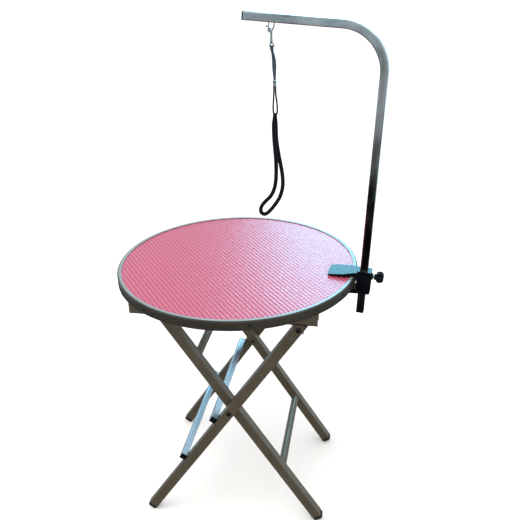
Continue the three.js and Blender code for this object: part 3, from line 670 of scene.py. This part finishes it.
def make_webbing():
    """Woven tape: ribs across its length with a finer thread on them."""
    finish = Finish("navy_webbing", (0.020, 0.035, 0.075), 0.7, sheen=(0.1, 0.4))
    finish.tint(finish.noise(420), ((0.3, (0.012, 0.024, 0.045)), (0.7, (0.035, 0.062, 0.10))))
    ribs = new_node(finish.nodes, "TexWave", Scale=260, Distortion=0.6)
    ribs.bands_direction = "Z"
    finish.links.new(finish.place, ribs.inputs["Vector"])
    return finish.relief((ribs.outputs["Fac"], 0.5, 0.0003), (finish.noise(2600), 0.3, 0.0001))


FINISHES = {
    finish.name: finish.material
    for finish in (*DRIFTING, make_plated_bar(), make_arm_chrome(), make_pink_mat(), make_board(),
                   make_webbing())
}


def piece(name, mesh, where, finish, body, stands_for=None):
    """A visible piece that rides on a body, with the material slot of its finish."""
    obj = new_object(name, mesh, where)
    obj.data.materials.clear()
    obj.data.materials.append(FINISHES[finish])
    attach(obj, body)
    if stands_for:
        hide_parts(stands_for)
    return obj


# ------------------------ tabletop

RIB_HEIGHT, RIB_GROOVE, RIB_SLOPE = 0.00044, 0.0012, 0.0026
NOTCH_DEPTH, NOTCH_GROOVE, NOTCH_SLOPE = 0.0004, 0.0012, 0.0016
LIP_INNER = RIM_RADIUS - 0.0105
LIP_THICKNESS = 0.0014
RIM_SHOULDER = 0.0034
RIM_JOINT, RIM_JOINT_HALF = -131.5, 0.08  # degrees


def lattice_lines(reach, groove, slope):
    """(Place, on the crest or not) for every fold line that runs one way over the mat."""
    foot, crest = groove / 2, groove / 2 + slope
    steps = ((foot, False), (crest, True), (STUD_PITCH - crest, True), (STUD_PITCH - foot, False))
    cells = ceil(reach / STUD_PITCH) + 1
    return [(k * STUD_PITCH + step, high) for k in range(-cells, cells) for step, high in steps]


def make_mat():
    """A rubber disc with soft ribs on its face, notched across into a lattice of low studs."""
    radius = RIM_RADIUS - 0.0036
    ribs = lattice_lines(radius, RIB_GROOVE, RIB_SLOPE)
    notches = lattice_lines(radius, NOTCH_GROOVE, NOTCH_SLOPE)
    along, across = cos(STUD_TURN), sin(STUD_TURN)
    top = MAT_HIGH.z - 0.0001
    work = bmesh.new()
    grid = {}
    for i, (u, on_rib) in enumerate(ribs):
        for j, (v, on_stud) in enumerate(notches):
            x, y = u * along - v * across, u * across + v * along
            if hypot(x, y) < radius:
                fall = (0 if on_rib else RIB_HEIGHT) + (0 if on_stud else NOTCH_DEPTH)
                grid[i, j] = work.verts.new((x, y, top - fall))
    for i, j in grid:
        corners = [grid.get(key) for key in ((i, j), (i + 1, j), (i + 1, j + 1), (i, j + 1))]
        if all(corners):
            work.faces.new(corners)
    for vert in [v for v in work.verts if not v.link_faces]:
        work.verts.remove(vert)
    rim_edges = [edge for edge in work.edges if edge.is_boundary]
    skirt = bmesh.ops.extrude_edge_only(work, edges=rim_edges)["geom"]
    for vert in [v for v in skirt if isinstance(v, bmesh.types.BMVert)]:
        vert.co.z = MAT_LOW.z
    bmesh.ops.contextual_create(work, geom=[e for e in skirt if isinstance(e, bmesh.types.BMEdge)])
    bmesh.ops.recalc_face_normals(work, faces=work.faces)
    mesh = bpy.data.meshes.new("mat")
    work.to_mesh(mesh)
    work.free()
    mesh.shade_smooth()
    mesh.set_sharp_from_angle(angle=radians(40))
    return mesh


def make_rim():
    """An angle section bent round the board: wall, rolled shoulder and a thin lip over the mat."""
    outer, wall, lip = RIM_RADIUS, RIM_RADIUS - 0.0026, LIP_INNER
    top, under, bottom = RIM_TOP, RIM_TOP - LIP_THICKNESS, rim_low.z
    shoulder, edge, lip_edge = RIM_SHOULDER, 0.0005, LIP_THICKNESS / 2
    profile = [(wall + edge, bottom), (outer - edge, bottom)]
    profile += arc((outer - edge, bottom + edge), edge, -60, 0, 2)
    profile += arc((outer - shoulder, top - shoulder), shoulder, 0, 90, 8)
    profile += arc((lip + lip_edge, top - lip_edge), lip_edge, 90, 270, 6)
    profile += [(wall, under), (wall, bottom + edge)]
    start, sweep = RIM_JOINT + RIM_JOINT_HALF, 360 - 2 * RIM_JOINT_HALF
    return lathe(profile, 288, start, sweep, closed=True)


def paint_lit_lip(rim):
    """Gives the lip's top, inside the rolled shoulder, a painted highlight: the lighter copy of the rim's
    metal.
    """
    rim.data.materials.append(FINISHES["rim_lit_lip"])
    reach = RIM_RADIUS - RIM_SHOULDER + 0.0001
    # faces high on the lip and inside the shoulder get the painted highlight
    for polygon in rim.data.polygons:
        if polygon.center.z > RIM_TOP - LIP_THICKNESS and hypot(*polygon.center.xy) < reach:
            polygon.material_index = 1


def pan_head(radius, height, shank, length):
    """A screw along +Z: domed head above z = 0 with a cross recess, shank below."""
    edge = 0.12 * height
    dome = [(x * radius, edge + y * (height - edge)) for x, y in arc((0, 0), 1, 0, 90, 6)]
    tip = [(0, -length), (shank * 0.6, -length), (shank, -length + shank)]
    body = lathe([*tip, (shank, 0), (radius, 0), *dome[:-1], (0, height)], 28)
    arm, half = radius * 0.55, radius * 0.11
    cuts = [block((-arm, -half, height * 0.45), (arm, half, height * 2)),
            block((-half, -arm, height * 0.45), (half, arm, height * 2))]
    return combine(body, cuts, "DIFFERENCE")


SCREW_FIRST, SCREW_STEP, SCREW_COUNT = -122.2, 48.77, 8
SCREW_Z = RIM_TOP - 0.011


def build_tabletop():
    disc = [(0, BOARD_LOW.z), *arc((RIM_RADIUS - 0.0042, BOARD_LOW.z + 0.0012), 0.0012, -90, 0, 4),
            (RIM_RADIUS - 0.003, BOARD_HIGH.z), (0, BOARD_HIGH.z)]
    piece("board", lathe(disc, 192), TABLE, "board", "tabletop", "top_board")
    piece("mat", make_mat(), TABLE, "pink_mat", "tabletop", "top_mat")
    # the rim's wall carries painted shade and its lip's top a painted highlight
    rim = piece("rim", make_rim(), TABLE, "rim_metal", "tabletop", "edge_rim")
    paint_lit_lip(rim)
    head = pan_head(0.0033, 0.0016, 0.0013, 0.012)
    for i in range(SCREW_COUNT):
        turn = turned(radians(SCREW_FIRST + i * SCREW_STEP), "Z")
        where = TABLE @ turn @ at(RIM_RADIUS + GAP / 3, 0, SCREW_Z) @ ALONG_X
        piece(f"rim_screw_{i + 1}_head", head, where, "dark_bolt", "tabletop", f"rim_screw_{i + 1}")


def make_rail():
    """A channel folded from sheet, open below; the ears for the hinge screw are made apart by make_ear."""
    half, bend = RAIL_INSIDE / 2 + RAIL_WALL, 0.0028
    inside = half - RAIL_WALL
    corners = [(-half, RAIL_BOTTOM), (-inside, RAIL_BOTTOM), (-inside, RAIL_TOP - RAIL_WALL),
               (inside, RAIL_TOP - RAIL_WALL), (inside, RAIL_BOTTOM), (half, RAIL_BOTTOM), (half, RAIL_TOP),
               (-half, RAIL_TOP)]
    radii = [0.0004, 0.0004, bend - RAIL_WALL, bend - RAIL_WALL, 0.0004, 0.0004, bend, bend]
    section = fillet(corners, radii, 4)
    return skin([[(x, y, z) for y, z in section] for x in (-RAIL_HALF, RAIL_HALF)])


def make_ear():
    """The rail's wall brought down round the hinge screw."""
    left = [(-EAR_HALF - 0.008, RAIL_BOTTOM + 0.003), (-EAR_HALF, RAIL_BOTTOM - 0.002),
            (-EAR_HALF, EAR_BOTTOM)]
    outline = [*left, *[(-x, z) for x, z in reversed(left)]]
    shape = fillet(outline, [0, 0.003, 0.005, 0.005, 0.003, 0], 5)
    return skin([[(x, y, z) for x, z in shape] for y in (0, RAIL_WALL)])


def build_rails():
    screw = pan_head(0.0040, 0.0020, 0.0017, 0.010)
    for side, sign in SIDES:
        y = sign * OUTER_Y
        half = RAIL_INSIDE / 2 + RAIL_WALL
        piece(f"channel_{side}", make_rail(), at(AXIS_X, y), "frame_steel", "tabletop", f"rail_{side}")
        for k, edge in enumerate((-half, half - RAIL_WALL)):
            where = at(HINGE.x, y + edge)
            piece(f"ear_{side}_{k + 1}", make_ear(), where, "frame_steel", "tabletop")
        for k, x in enumerate((-0.19, -0.07, 0.07, 0.195)):
            where = at(AXIS_X + x, y, RAIL_TOP - RAIL_WALL) @ DOWN
            piece(f"rail_screw_{side}_{k + 1}", screw, where, "zinc_hardware", "tabletop")


# ------------------------ fasteners

def make_button_bolt(start, end):
    """A button head at -z with a hexagon socket, shank to z = end."""
    head, shank, height = 0.0065, 0.004, 0.0035
    dome = [(0, start - height), (0.0046, start - height), (0.0056, start - height * 0.86),
            (0.0062, start - height * 0.55), (head, start - 0.0006), (head - 0.0002, start)]
    bolt = lathe([*dome, (shank, start), (shank, end - 0.0008), (shank - 0.0008, end), (0, end)], 40)
    socket = extruded(arc((0, 0), 0.0029, 0, 300, 5), start - height - 0.001, start - height * 0.3)
    return combine(bolt, [socket], "DIFFERENCE")


def make_nut():
    high = 0.006
    hexagon = extruded(arc((0, 0), 0.0073, 0, 300, 5), 0, high)
    profile = [(0, 0), (0.0064, 0), (0.0075, 0.0009), (0.0075, 0.0051), (0.0064, high), (0, high)]
    return combine(hexagon, [lathe(profile, 40)], "INTERSECT")


# ------------------------ leg frames

def make_tube(side, corner, wall, low, high):
    """A square tube along +X."""
    bore = square(side - 2 * wall, max(corner - wall, 0.0003), 6)
    return flat_faced(moved(extruded(square(side, corner, 6), low, high, bore), ALONG_X))


def make_cap(side, corner=LEG_CORNER):
    """A moulded end plate along +X from x = 0, its outer edge rounded."""
    rows = ((0, 0), (CAP_THICKNESS - 0.0012, 0), (CAP_THICKNESS - 0.0004, 0.0004), (CAP_THICKNESS, 0.0013))
    sections = []
    for z, inset in rows:
        outline = square(side - 2 * inset, max(corner - inset / 2, 0.0005), 6)
        sections.append([(x, y, z) for x, y in outline])
    return moved(skin(sections), ALONG_X)


def cad_copy(node, width, segments=3):
    """A finely edged copy of a faceted CAD piece: its coplanar facets joined, its edges rounded."""
    mesh = frame["nodes"][node].data.copy()
    work = bmesh.new()
    work.from_mesh(mesh)
    bmesh.ops.remove_doubles(work, verts=work.verts, dist=2e-6)
    bmesh.ops.dissolve_limit(work, angle_limit=radians(0.6), verts=work.verts, edges=work.edges)
    work.to_mesh(mesh)
    work.free()
    if "custom_normal" in mesh.attributes:
        mesh.attributes.remove(mesh.attributes["custom_normal"])
    obj = new_object("work", mesh, HERE)
    result = soften(obj, width, segments).data
    bpy.data.objects.remove(obj)
    return result


def copy_piece(name, node, width, finish, body, segments=3):
    """A finely edged copy of a CAD node, in that node's own place."""
    piece(name, cad_copy(node, width, segments), HERE, finish, body, node)


def build_leg(which, side, lane, up, down):
    """A leg of the outer or inner frame, with its top plug and its foot."""
    body = f"{which}_frame"
    leg = make_tube(LEG_SIDE, LEG_CORNER, LEG_WALL, -down, up)
    piece(f"leg_{which}_{side}", leg, lane, "frame_steel", body, f"{which}_leg_{side}")
    top = lane @ at(up + GAP)
    piece(f"plug_{which}_{side}", make_cap(LEG_SIDE), top, "black_plastic", body, f"{which}_plug_{side}")
    copy_piece(f"foot_{which}_{side}", f"{which}_foot_{side}", 0.0006, "black_rubber", body)


def make_spacer():
    """The washer between the two frames' legs, along +Y from y = 0."""
    bore, edge, radius = 0.0043, 0.0101, 0.0105
    space = OUTER_Y - INNER_Y - LEG_SIDE
    ring = lathe([(bore, GAP), (edge, GAP), (radius, GAP * 2), (radius, space - GAP * 2),
                  (edge, space - GAP), (bore, space - GAP)], 48, closed=True)
    return moved(ring, ALONG_Y)


def build_outer_frame():
    rail_half = RAIL_INSIDE / 2 + RAIL_WALL
    for side, sign in SIDES:
        lane = OUTER @ at(y=sign * OUTER_Y)
        build_leg("outer", side, lane, OUTER_UP, OUTER_DOWN)
        facing = turned(pi if sign > 0 else 0, "X")
        pivot = OUTER @ facing
        bolt = moved(make_button_bolt(-OUTER_FACE - GAP, -INNER_FACE + GAP + 0.008), ALONG_Y)
        piece(f"bolt_{side}", bolt, pivot, "dark_bolt", "outer_frame", f"pivot_bolt_{side}")
        nut = moved(make_nut(), ALONG_Y)
        nut_place = pivot @ at(y=-INNER_FACE + GAP)
        piece(f"nut_{side}", nut, nut_place, "zinc_hardware", "outer_frame", f"pivot_nut_{side}")
        spacer_place = pivot @ at(y=-OUTER_Y + LEG_SIDE / 2)
        piece(f"spacer_{side}", make_spacer(), spacer_place, "black_plastic", "outer_frame",
              f"pivot_spacer_{side}")
        screw = moved(make_button_bolt(-rail_half - GAP, rail_half), ALONG_Y)
        screw_place = at(HINGE.x, HINGE.y + sign * OUTER_Y, HINGE.z) @ facing
        piece(f"hinge_bolt_{side}", screw, screw_place, "dark_bolt", "tabletop", f"hinge_screw_{side}")


def build_crossbars():
    level = LEG_SIDE / 2 + GAP + BAR_SIDE / 2
    turn = turned(pi / 2, "Z")
    screw = pan_head(0.0042, 0.0022, 0.002, 0.012)
    for i, along in enumerate(BAR_ALONG):
        place = OUTER @ at(along, 0, level)
        bar = moved(make_tube(BAR_SIDE, BAR_CORNER, BAR_WALL, -BAR_ENDS["near"], BAR_ENDS["far"]), turn)
        piece(f"bar_{i + 1}", bar, place, "plated_bar", "outer_frame", f"outer_bar_{i + 1}")
        for side, sign in SIDES:
            out = turned(sign * pi / 2, "Z")
            cap = moved(make_cap(BAR_SIDE, BAR_CORNER), out @ at(BAR_ENDS[side] + GAP))
            name = f"cap_{i + 1}_{side}"
            piece(name, cap, place, "black_plastic", "outer_frame", f"bar_{name}")
        where = place @ at(0, -OUTER_Y, BAR_SIDE / 2)
        piece(f"bar_screw_{i + 1}", screw, where, "zinc_hardware", "outer_frame")


def make_weld(radius):
    """A rippled fillet bead round a bar's end, at z = 0, the bar towards +z."""
    sections = []
    for a in circle(72):
        ripple = 1 + 0.09 * sin(24 * a) + 0.05 * sin(5 * a + 1)
        bead = 0.0026 * ripple
        section = ((-0.0002, 0), (bead, 0), (0.0011 * ripple, 0.0011), (0.0002, bead), (-0.0002, bead))
        sections.append([((radius + r) * cos(a), (radius + r) * sin(a), z) for r, z in section])
    return skin(sections, closed=True)


def build_inner_frame():
    for side, sign in SIDES:
        lane = INNER @ at(y=sign * INNER_Y)
        build_leg("inner", side, lane, INNER_UP, INNER_DOWN)
    for name, (along, radius) in ROUND_BARS.items():
        half, bore = INNER_FACE - GAP, radius - LEG_WALL
        tube = lathe([(bore, -half), (radius, -half), (radius, half), (bore, half)], 48, closed=True)
        place = INNER @ at(along)
        piece(f"{name}_tube", moved(tube, ALONG_Y), place, "frame_steel", "inner_frame", name)
        for side, sign in SIDES:
            facing = at(y=sign * INNER_FACE) @ turned(sign * pi / 2, "X")
            piece(f"{name}_weld_{side}", make_weld(radius), place @ facing, "frame_steel", "inner_frame")


# ------------------------ clamp, knob and arm

def make_knob():
    """Seven round lobes with deep hollows between them, crowned on both faces, and a hub behind."""
    lobes, steps = 7, 12

    def ring(scale, inset, z):
        points = []
        for a in circle(lobes * steps):
            wave = 0.5 + 0.5 * cos(lobes * a)
            radius = (0.0096 + 0.0049 * wave ** 0.6 - inset) * scale
            points.append((radius * cos(a), radius * sin(a), z))
        return points

    rows = [(0.60, 0, 0.0062), (0.80, 0.001, 0.0052), (1, 0.0030, 0.0056), (1, 0.0015, 0.0070),
            (1, 0.0005, 0.0088), (1, 0, 0.0112), (1, 0, 0.0138), (1, 0.0005, 0.0164), (1, 0.0015, 0.0186),
            (1, 0.0030, 0.0203), (0.85, 0.0032, 0.0214), (0.6, 0.0032, 0.0219), (0.42, 0.0032, 0.0217),
            (0.36, 0.0032, 0.0210), (0.1, 0.0032, 0.0210)]
    star = skin([ring(*row) for row in rows], sharp=ROUND)
    hub = lathe([(0, 0), (0.0068, 0), (0.0075, 0.0007), (0.0075, 0.0075), (0, 0.0075)], 48)
    bore = lathe([(0, -0.001), (0.0043, -0.001), (0.0043, 0.0103), (0, 0.0103)], 32)
    return moved(combine(combine(star, [hub], "UNION"), [bore], "DIFFERENCE"), ALONG_X)


def make_thread(radius, low, high, pitch=0.00125, depth=0.0006):
    """A threaded rod along +Z: ridges as a close stack of turned grooves."""
    profile = [(0, low), (radius - depth, low)]
    z = low
    while z + pitch < high:
        profile += [(radius, z + pitch * 0.4), (radius, z + pitch * 0.6), (radius - depth, z + pitch)]
        z += pitch
    profile += [(radius - depth, high), (0, high)]
    return lathe(profile, 32)


def arm_stations(low, tip):
    """Up the pole, round the bend and along the arm, in the pole's frame."""
    centre = Vector((-ARM_BEND, 0, BEND_HEIGHT))
    aside = Vector((0, 1, 0))
    stations = [(Vector((0, 0, -low)), Vector((1, 0, 0)), aside)]
    steps = 40
    for i in range(steps + 1):
        angle = ARM_TURN * i / steps
        out = Vector((cos(angle), 0, sin(angle)))
        stations.append((centre + out * ARM_BEND, out, aside))
    end = Vector((-tip * sin(ARM_TURN), 0, ARM_CORNER + tip * cos(ARM_TURN)))
    stations.append((end, stations[-1][1], aside))
    return stations


RISE = pi / 2 - ARM_TURN + CLAMP_LEAN
PIN_ALONG = (POLE_RADIUS + ARM_CORNER * sin(CLAMP_LEAN) - LEASH_RADIUS) / cos(RISE)


def make_arm():
    outside = swept(square(POLE_SIDE, 0.002, 6), arm_stations(POLE_DOWN, ARM_REACH))
    past = 0.003
    bore = square(POLE_SIDE - 2 * POLE_WALL, 0.0009, 6)
    bore = swept(bore, arm_stations(POLE_DOWN + past, ARM_REACH + past))
    into = POLE.inverted() @ ARM @ at(PIN_ALONG)
    slot = moved(extruded(rectangle(0.026, 0.008, 0.0039, 8), 0.002, 0.02), into)
    return flat_faced(combine(outside, [bore, slot], "DIFFERENCE"))


def build_clamp_and_arm():
    copy_piece("clamp_casting", "clamp_body", 0.0018, "clamp_casting", "tabletop", 4)
    copy_piece("clamp_pad", "jaw_pad", 0.0003, "black_rubber", "tabletop", 2)
    knob_place = POLE @ at(KNOB_OUT, 0, KNOB_Z)
    piece("knob_star", make_knob(), knob_place, "black_plastic", "knob", "star_knob")
    stud = moved(make_thread(0.0040, POLE_SIDE / 2 + GAP, KNOB_OUT + 0.010), ALONG_X)
    stud_place = POLE @ at(z=KNOB_Z)
    piece("knob_thread", stud, stud_place, "zinc_hardware", "knob", "knob_stud")
    piece("arm", make_arm(), POLE, "arm_chrome", "arm", "arm_tube")
    foot = POLE @ at(z=-POLE_DOWN - GAP) @ ALONG_X
    piece("pole_end", make_cap(POLE_SIDE, 0.002), foot, "black_plastic", "arm", "pole_cap")
    tip = ARM @ at(ARM_REACH + GAP)
    piece("arm_end", make_cap(POLE_SIDE, 0.002), tip, "black_plastic", "arm", "arm_cap")
    half, radius = POLE_SIDE / 2 + 0.0004, 0.002
    pin = lathe([(0, -half), (radius - 0.0005, -half), (radius, -half + 0.0004), (radius, half - 0.0004),
                 (radius - 0.0005, half), (0, half)], 32)
    pin_place = ARM @ at(PIN_ALONG)
    piece("pin", moved(pin, ALONG_Y), pin_place, "zinc_hardware", "arm", "leash_pin")


def build_clamp_screw():
    """The tightening screw below the rim with its round pressure foot and a tommy bar's head."""
    jaw_bottom, from_axis = -0.0455, 0.268
    foot, head = BOARD_LOW.z - RIM_TOP - GAP, jaw_bottom - GAP
    profile = [(0, head - 0.020), *arc((0.0068, head - 0.0188), 0.0012, -90, 0, 4),
               (0.008, head - 0.012), (0.007, head - 0.010), (0.004, head - 0.009),
               (0.004, foot - 0.0045), (0.0052, foot - 0.0040), (0.0105, foot - 0.003),
               (0.011, foot - 0.0025), (0.011, foot), (0, foot)]
    screw = lathe(profile, 48)
    piece("pressure_screw", screw, RIM @ at(from_axis), "zinc_hardware", "tabletop", "clamp_screw")


# ------------------------ leash

STRAP_ROUTE = (
    (0.6, 0, -61.4), (1.6, 0, -67), (3.1, 0, -73), (4.4, 0, -79.5), (5.2, 0, -86), (5.6, 0, -93),
    (5.8, 0, -100), (5.9, 0, -107), (6.0, 0, -114), (6.2, 0, -120.5), (6.4, 0, -127.2),
)
THIN_ROUTE = (
    (4.4, 0, -140.8), (4.4, 0, -150), (4.1, 0, -160), (3.3, 0, -170), (2.6, 0, -180), (2.4, 0, -190),
    (3.4, 0, -198), (6.8, 0, -202), (10.4, 0, -199.4), (11.8, 0, -193), (11.8, 0, -185), (11.0, 0, -175),
    (9.8, 0, -166), (8.7, 0, -157), (8.4, 0, -149), (8.4, 0, -140.8),
)
NOOSE_ROUTE = (
    (5.4, -4.8, -208.2), (4.9, -4.8, -222), (4.9, -4.8, -240), (5.6, -4.8, -258), (7.2, -4.8, -280),
    (8.8, -4.8, -300), (9.3, -4.4, -318), (8.8, -3.4, -336), (7.4, -2.2, -354), (3.4, -1.2, -374),
    (-5.8, -0.3, -393.5), (-18.5, 0, -407.5), (-27.6, 0, -419), (-31.4, 0, -431), (-28.2, 0, -439.2),
    (-20.6, 0, -440.6), (-11, 0, -433.6), (3.1, 0, -416), (16.4, 0.2, -394), (22.8, 1.2, -370),
    (22.9, 2.2, -348), (20, 3.4, -328), (16, 4.5, -309), (12.4, 4.8, -290), (9.2, 4.8, -270),
    (7.4, 4.8, -250), (6.8, 4.8, -229), (6.8, 4.8, -208.2),
)


def mm(points):
    """Points in metres from points in millimetres."""
    return [tuple(value * 0.001 for value in point) for point in points]


def route_line(route, steps):
    """A leash route in metres as a smooth line, in the leash's frame."""
    return smooth_line([Vector(point) * 0.001 for point in route], steps)


def oval(width, depth, count=20, power=1.0):
    """A rounded flat section; a power under 1 squares its sides."""
    def bulge(value):
        return copysign(abs(value) ** power, value)

    return [(bulge(cos(a)) * depth / 2, bulge(sin(a)) * width / 2) for a in circle(count)]


def varying(line, section_at, aside=Vector((0, 1, 0))):
    """A tube along a line whose section depends on its share of the length."""
    last = len(line) - 1
    sections = []
    for i, (point, across, side) in enumerate(stations_along(line, aside)):
        sections.append([point + across * x + side * y for x, y in section_at(i / last)])
    return skin(sections, sharp=ROUND)


def blend_of(table, share):
    """Straight-line look-up in ((share, value), ...)."""
    for (a, low), (b, high) in zip(table, table[1:]):
        if share <= b:
            return low + (high - low) * (share - a) / (b - a)
    return table[-1][1]


def build_strap(crimp):
    widths = ((0, 0.0048), (0.12, 0.0056), (0.3, 0.0080), (0.5, 0.0094), (0.68, 0.0088), (0.85, 0.0060),
              (1, 0.0052))
    line = route_line(STRAP_ROUTE, 5)

    def section(share):
        width = blend_of(widths, share)
        return oval(0.0022 + 0.2 * (0.0094 - width), width, 24, 0.6)

    strap = piece("strap", varying(line, section), LEASH, "navy_webbing", "leash", "leash_strap")
    knot = build_strap_eye()


def build_strap_eye():
    """The strap's turn round the swivel's ring; its two ends meet in a sewn knot below it."""
    turn = [radians(degrees) for degrees in range(188, 533, 43)]
    route = [(0.0006, 0.0036 * sin(a), 0.0041 * cos(a) - 0.0594) for a in turn]
    loop = varying(smooth_line(route, 5), lambda share: oval(0.0062, 0.0016, 16, 0.6), Vector((1, 0, 0)))
    knot = lathe(mm([(0, 3.2), (2.2, 2.9), (3.3, 1.6), (3.6, 0), (3.1, -1.8), (2.2, -3), (0, -3.4)]), 24)
    knot = moved(knot, at(0.001, 0, -0.0648))
    return piece("strap_eye", combine(loop, [knot], "UNION"), LEASH, "navy_webbing", "leash")


def build_crimp():
    rows = mm(((-6.5, 0.3), (-6, 0), (-3, 0), (-2.2, 0.6), (-1, 0.6), (0, 0), (1, 0.6), (2.2, 0.6), (3, 0),
               (6, 0), (6.5, 0.3)))
    sections = [[(x, y * 0.6, z) for x, y in square(0.0076 - 2 * inset, 0.0018, 6)] for z, inset in rows]
    place = LEASH @ at(0.0064, 0, -0.134)
    return piece("crimp", skin(sections, sharp=ROUND), place, "zinc_hardware", "leash", "strap_crimp")


def build_loops():
    thin = route_line(THIN_ROUTE, 6)
    string = varying(thin, lambda share: oval(0.0036, 0.0036, 16))
    cord = piece("thin_cord", string, LEASH, "black_cord", "leash", "thin_loop")
    noose = route_line(NOOSE_ROUTE, 6)

    def section(share):
        full = min(1.0, min(share, 1 - share) / 0.03)
        return oval(0.0060 + 0.0028 * full, 0.0060 + 0.0030 * full, 20, 0.85)

    sleeve = piece("noose", varying(noose, section), LEASH, "black_cord", "leash", "noose_loop")
    build_noose_tab()


def build_noose_tab():
    """The fabric tab that joins the noose's two ends over the thin cord."""
    route = ((5.4, -4.8, -211), (5.6, -4.6, -206), (6.0, -3.3, -201), (6.3, 0, -198.4), (6.6, 3.3, -201),
             (6.7, 4.6, -206), (6.8, 4.8, -211))
    tab = varying(route_line(route, 5), lambda share: oval(0.0066, 0.0018, 16, 0.7), Vector((1, 0, 0)))
    return piece("noose_tab", tab, LEASH, "black_cord", "leash")


def build_snap():
    hook = ((0.5, 0, -27), (3.6, 0, -22), (6.1, 0, -15), (6.2, 0, -6), (5.2, 0, 0.6), (2.6, 0, 3.6),
            (-1.2, 0, 3.9), (-4.4, 0, 1.8), (-5.8, 0, -2.2))
    wire = varying(route_line(hook, 6), lambda share: oval(0.0030, 0.0030, 16))
    body = lathe(mm([(0, -46.7), (3, -46.7), (3.4, -46.3), (3.6, -44), (2.7, -42.2), (2.5, -40), (2.5, -32),
                     (2.9, -27), (2.2, -24), (0, -23.6)]), 40)
    guide = block((-0.0076, -0.0023, -0.028), (-0.0005, 0.0023, -0.020))
    aside = at(-0.0054)
    channel = moved(lathe(mm([(0, -40), (1.8, -40), (1.8, -12), (0, -12)]), 24), aside)
    opening = block((-0.0084, -0.0015, -0.040), (-0.0054, 0.0015, -0.012))
    solid = combine(combine(wire, [body, guide], "UNION"), [channel, opening], "DIFFERENCE")
    piece("hook", solid, LEASH, "zinc_hardware", "snap_hook", "snap_hook")
    shaft = lathe(mm([(0, -29.5), (1, -29.5), (1.3, -29.2), (1.3, -4.9), (0.8, -4.4), (0, -4.4)]), 24)
    stud = lathe(mm([(0, -6.5), (1.2, -6.4), (1.9, -5.9), (2.1, -4.6), (1.1, -3.8), (1.1, 0), (0, 0)]), 24)
    stud = moved(stud, at(z=-0.0172) @ ALONG_X)
    bolt = moved(combine(shaft, [stud], "UNION"), aside)
    piece("bolt_slide", bolt, LEASH, "zinc_hardware", "snap_bolt", "snap_bolt")


def build_swivel():
    ring, wire = 0.0044, 0.0014
    sections = []
    for a in circle(48):
        out = Vector((cos(a), 0, sin(a)))
        sections.append([out * (ring + wire * cos(b)) + Vector((0, wire * sin(b), 0)) for b in circle(14)])
    eye = moved(skin(sections, closed=True, sharp=ROUND), at(0.0006, 0, -0.0545))
    neck = lathe(mm([(0, -51.4), (2.2, -50.6), (2.8, -48.5), (3, -47.5), (2.7, -47), (0, -47)]), 32)
    piece("swivel_ring", combine(eye, [neck], "UNION"), LEASH, "zinc_hardware", "leash", "swivel_eye")


def build_leash():
    build_snap()
    build_swivel()
    build_strap(build_crimp())
    build_loops()


def build_catches():
    screw = pan_head(0.0034, 0.0018, 0.0014, 0.010)
    for side, sign in SIDES:
        copy_piece(f"hook_{side}", f"catch_{side}", 0.0009, "black_plastic", "tabletop")
        low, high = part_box(f"catch_{side}")
        for k, y in enumerate((-0.008, 0.008)):
            where = at(high.x - 0.004, sign * CATCH_Y + y, high.z - 0.0045) @ DOWN
            piece(f"catch_screw_{side}_{k + 1}", screw, where, "zinc_hardware", "tabletop")


make_camera()
make_studio()
build_leash()
build_tabletop()
build_rails()
build_catches()
build_outer_frame()
build_crossbars()
build_inner_frame()
build_clamp_and_arm()
build_clamp_screw()
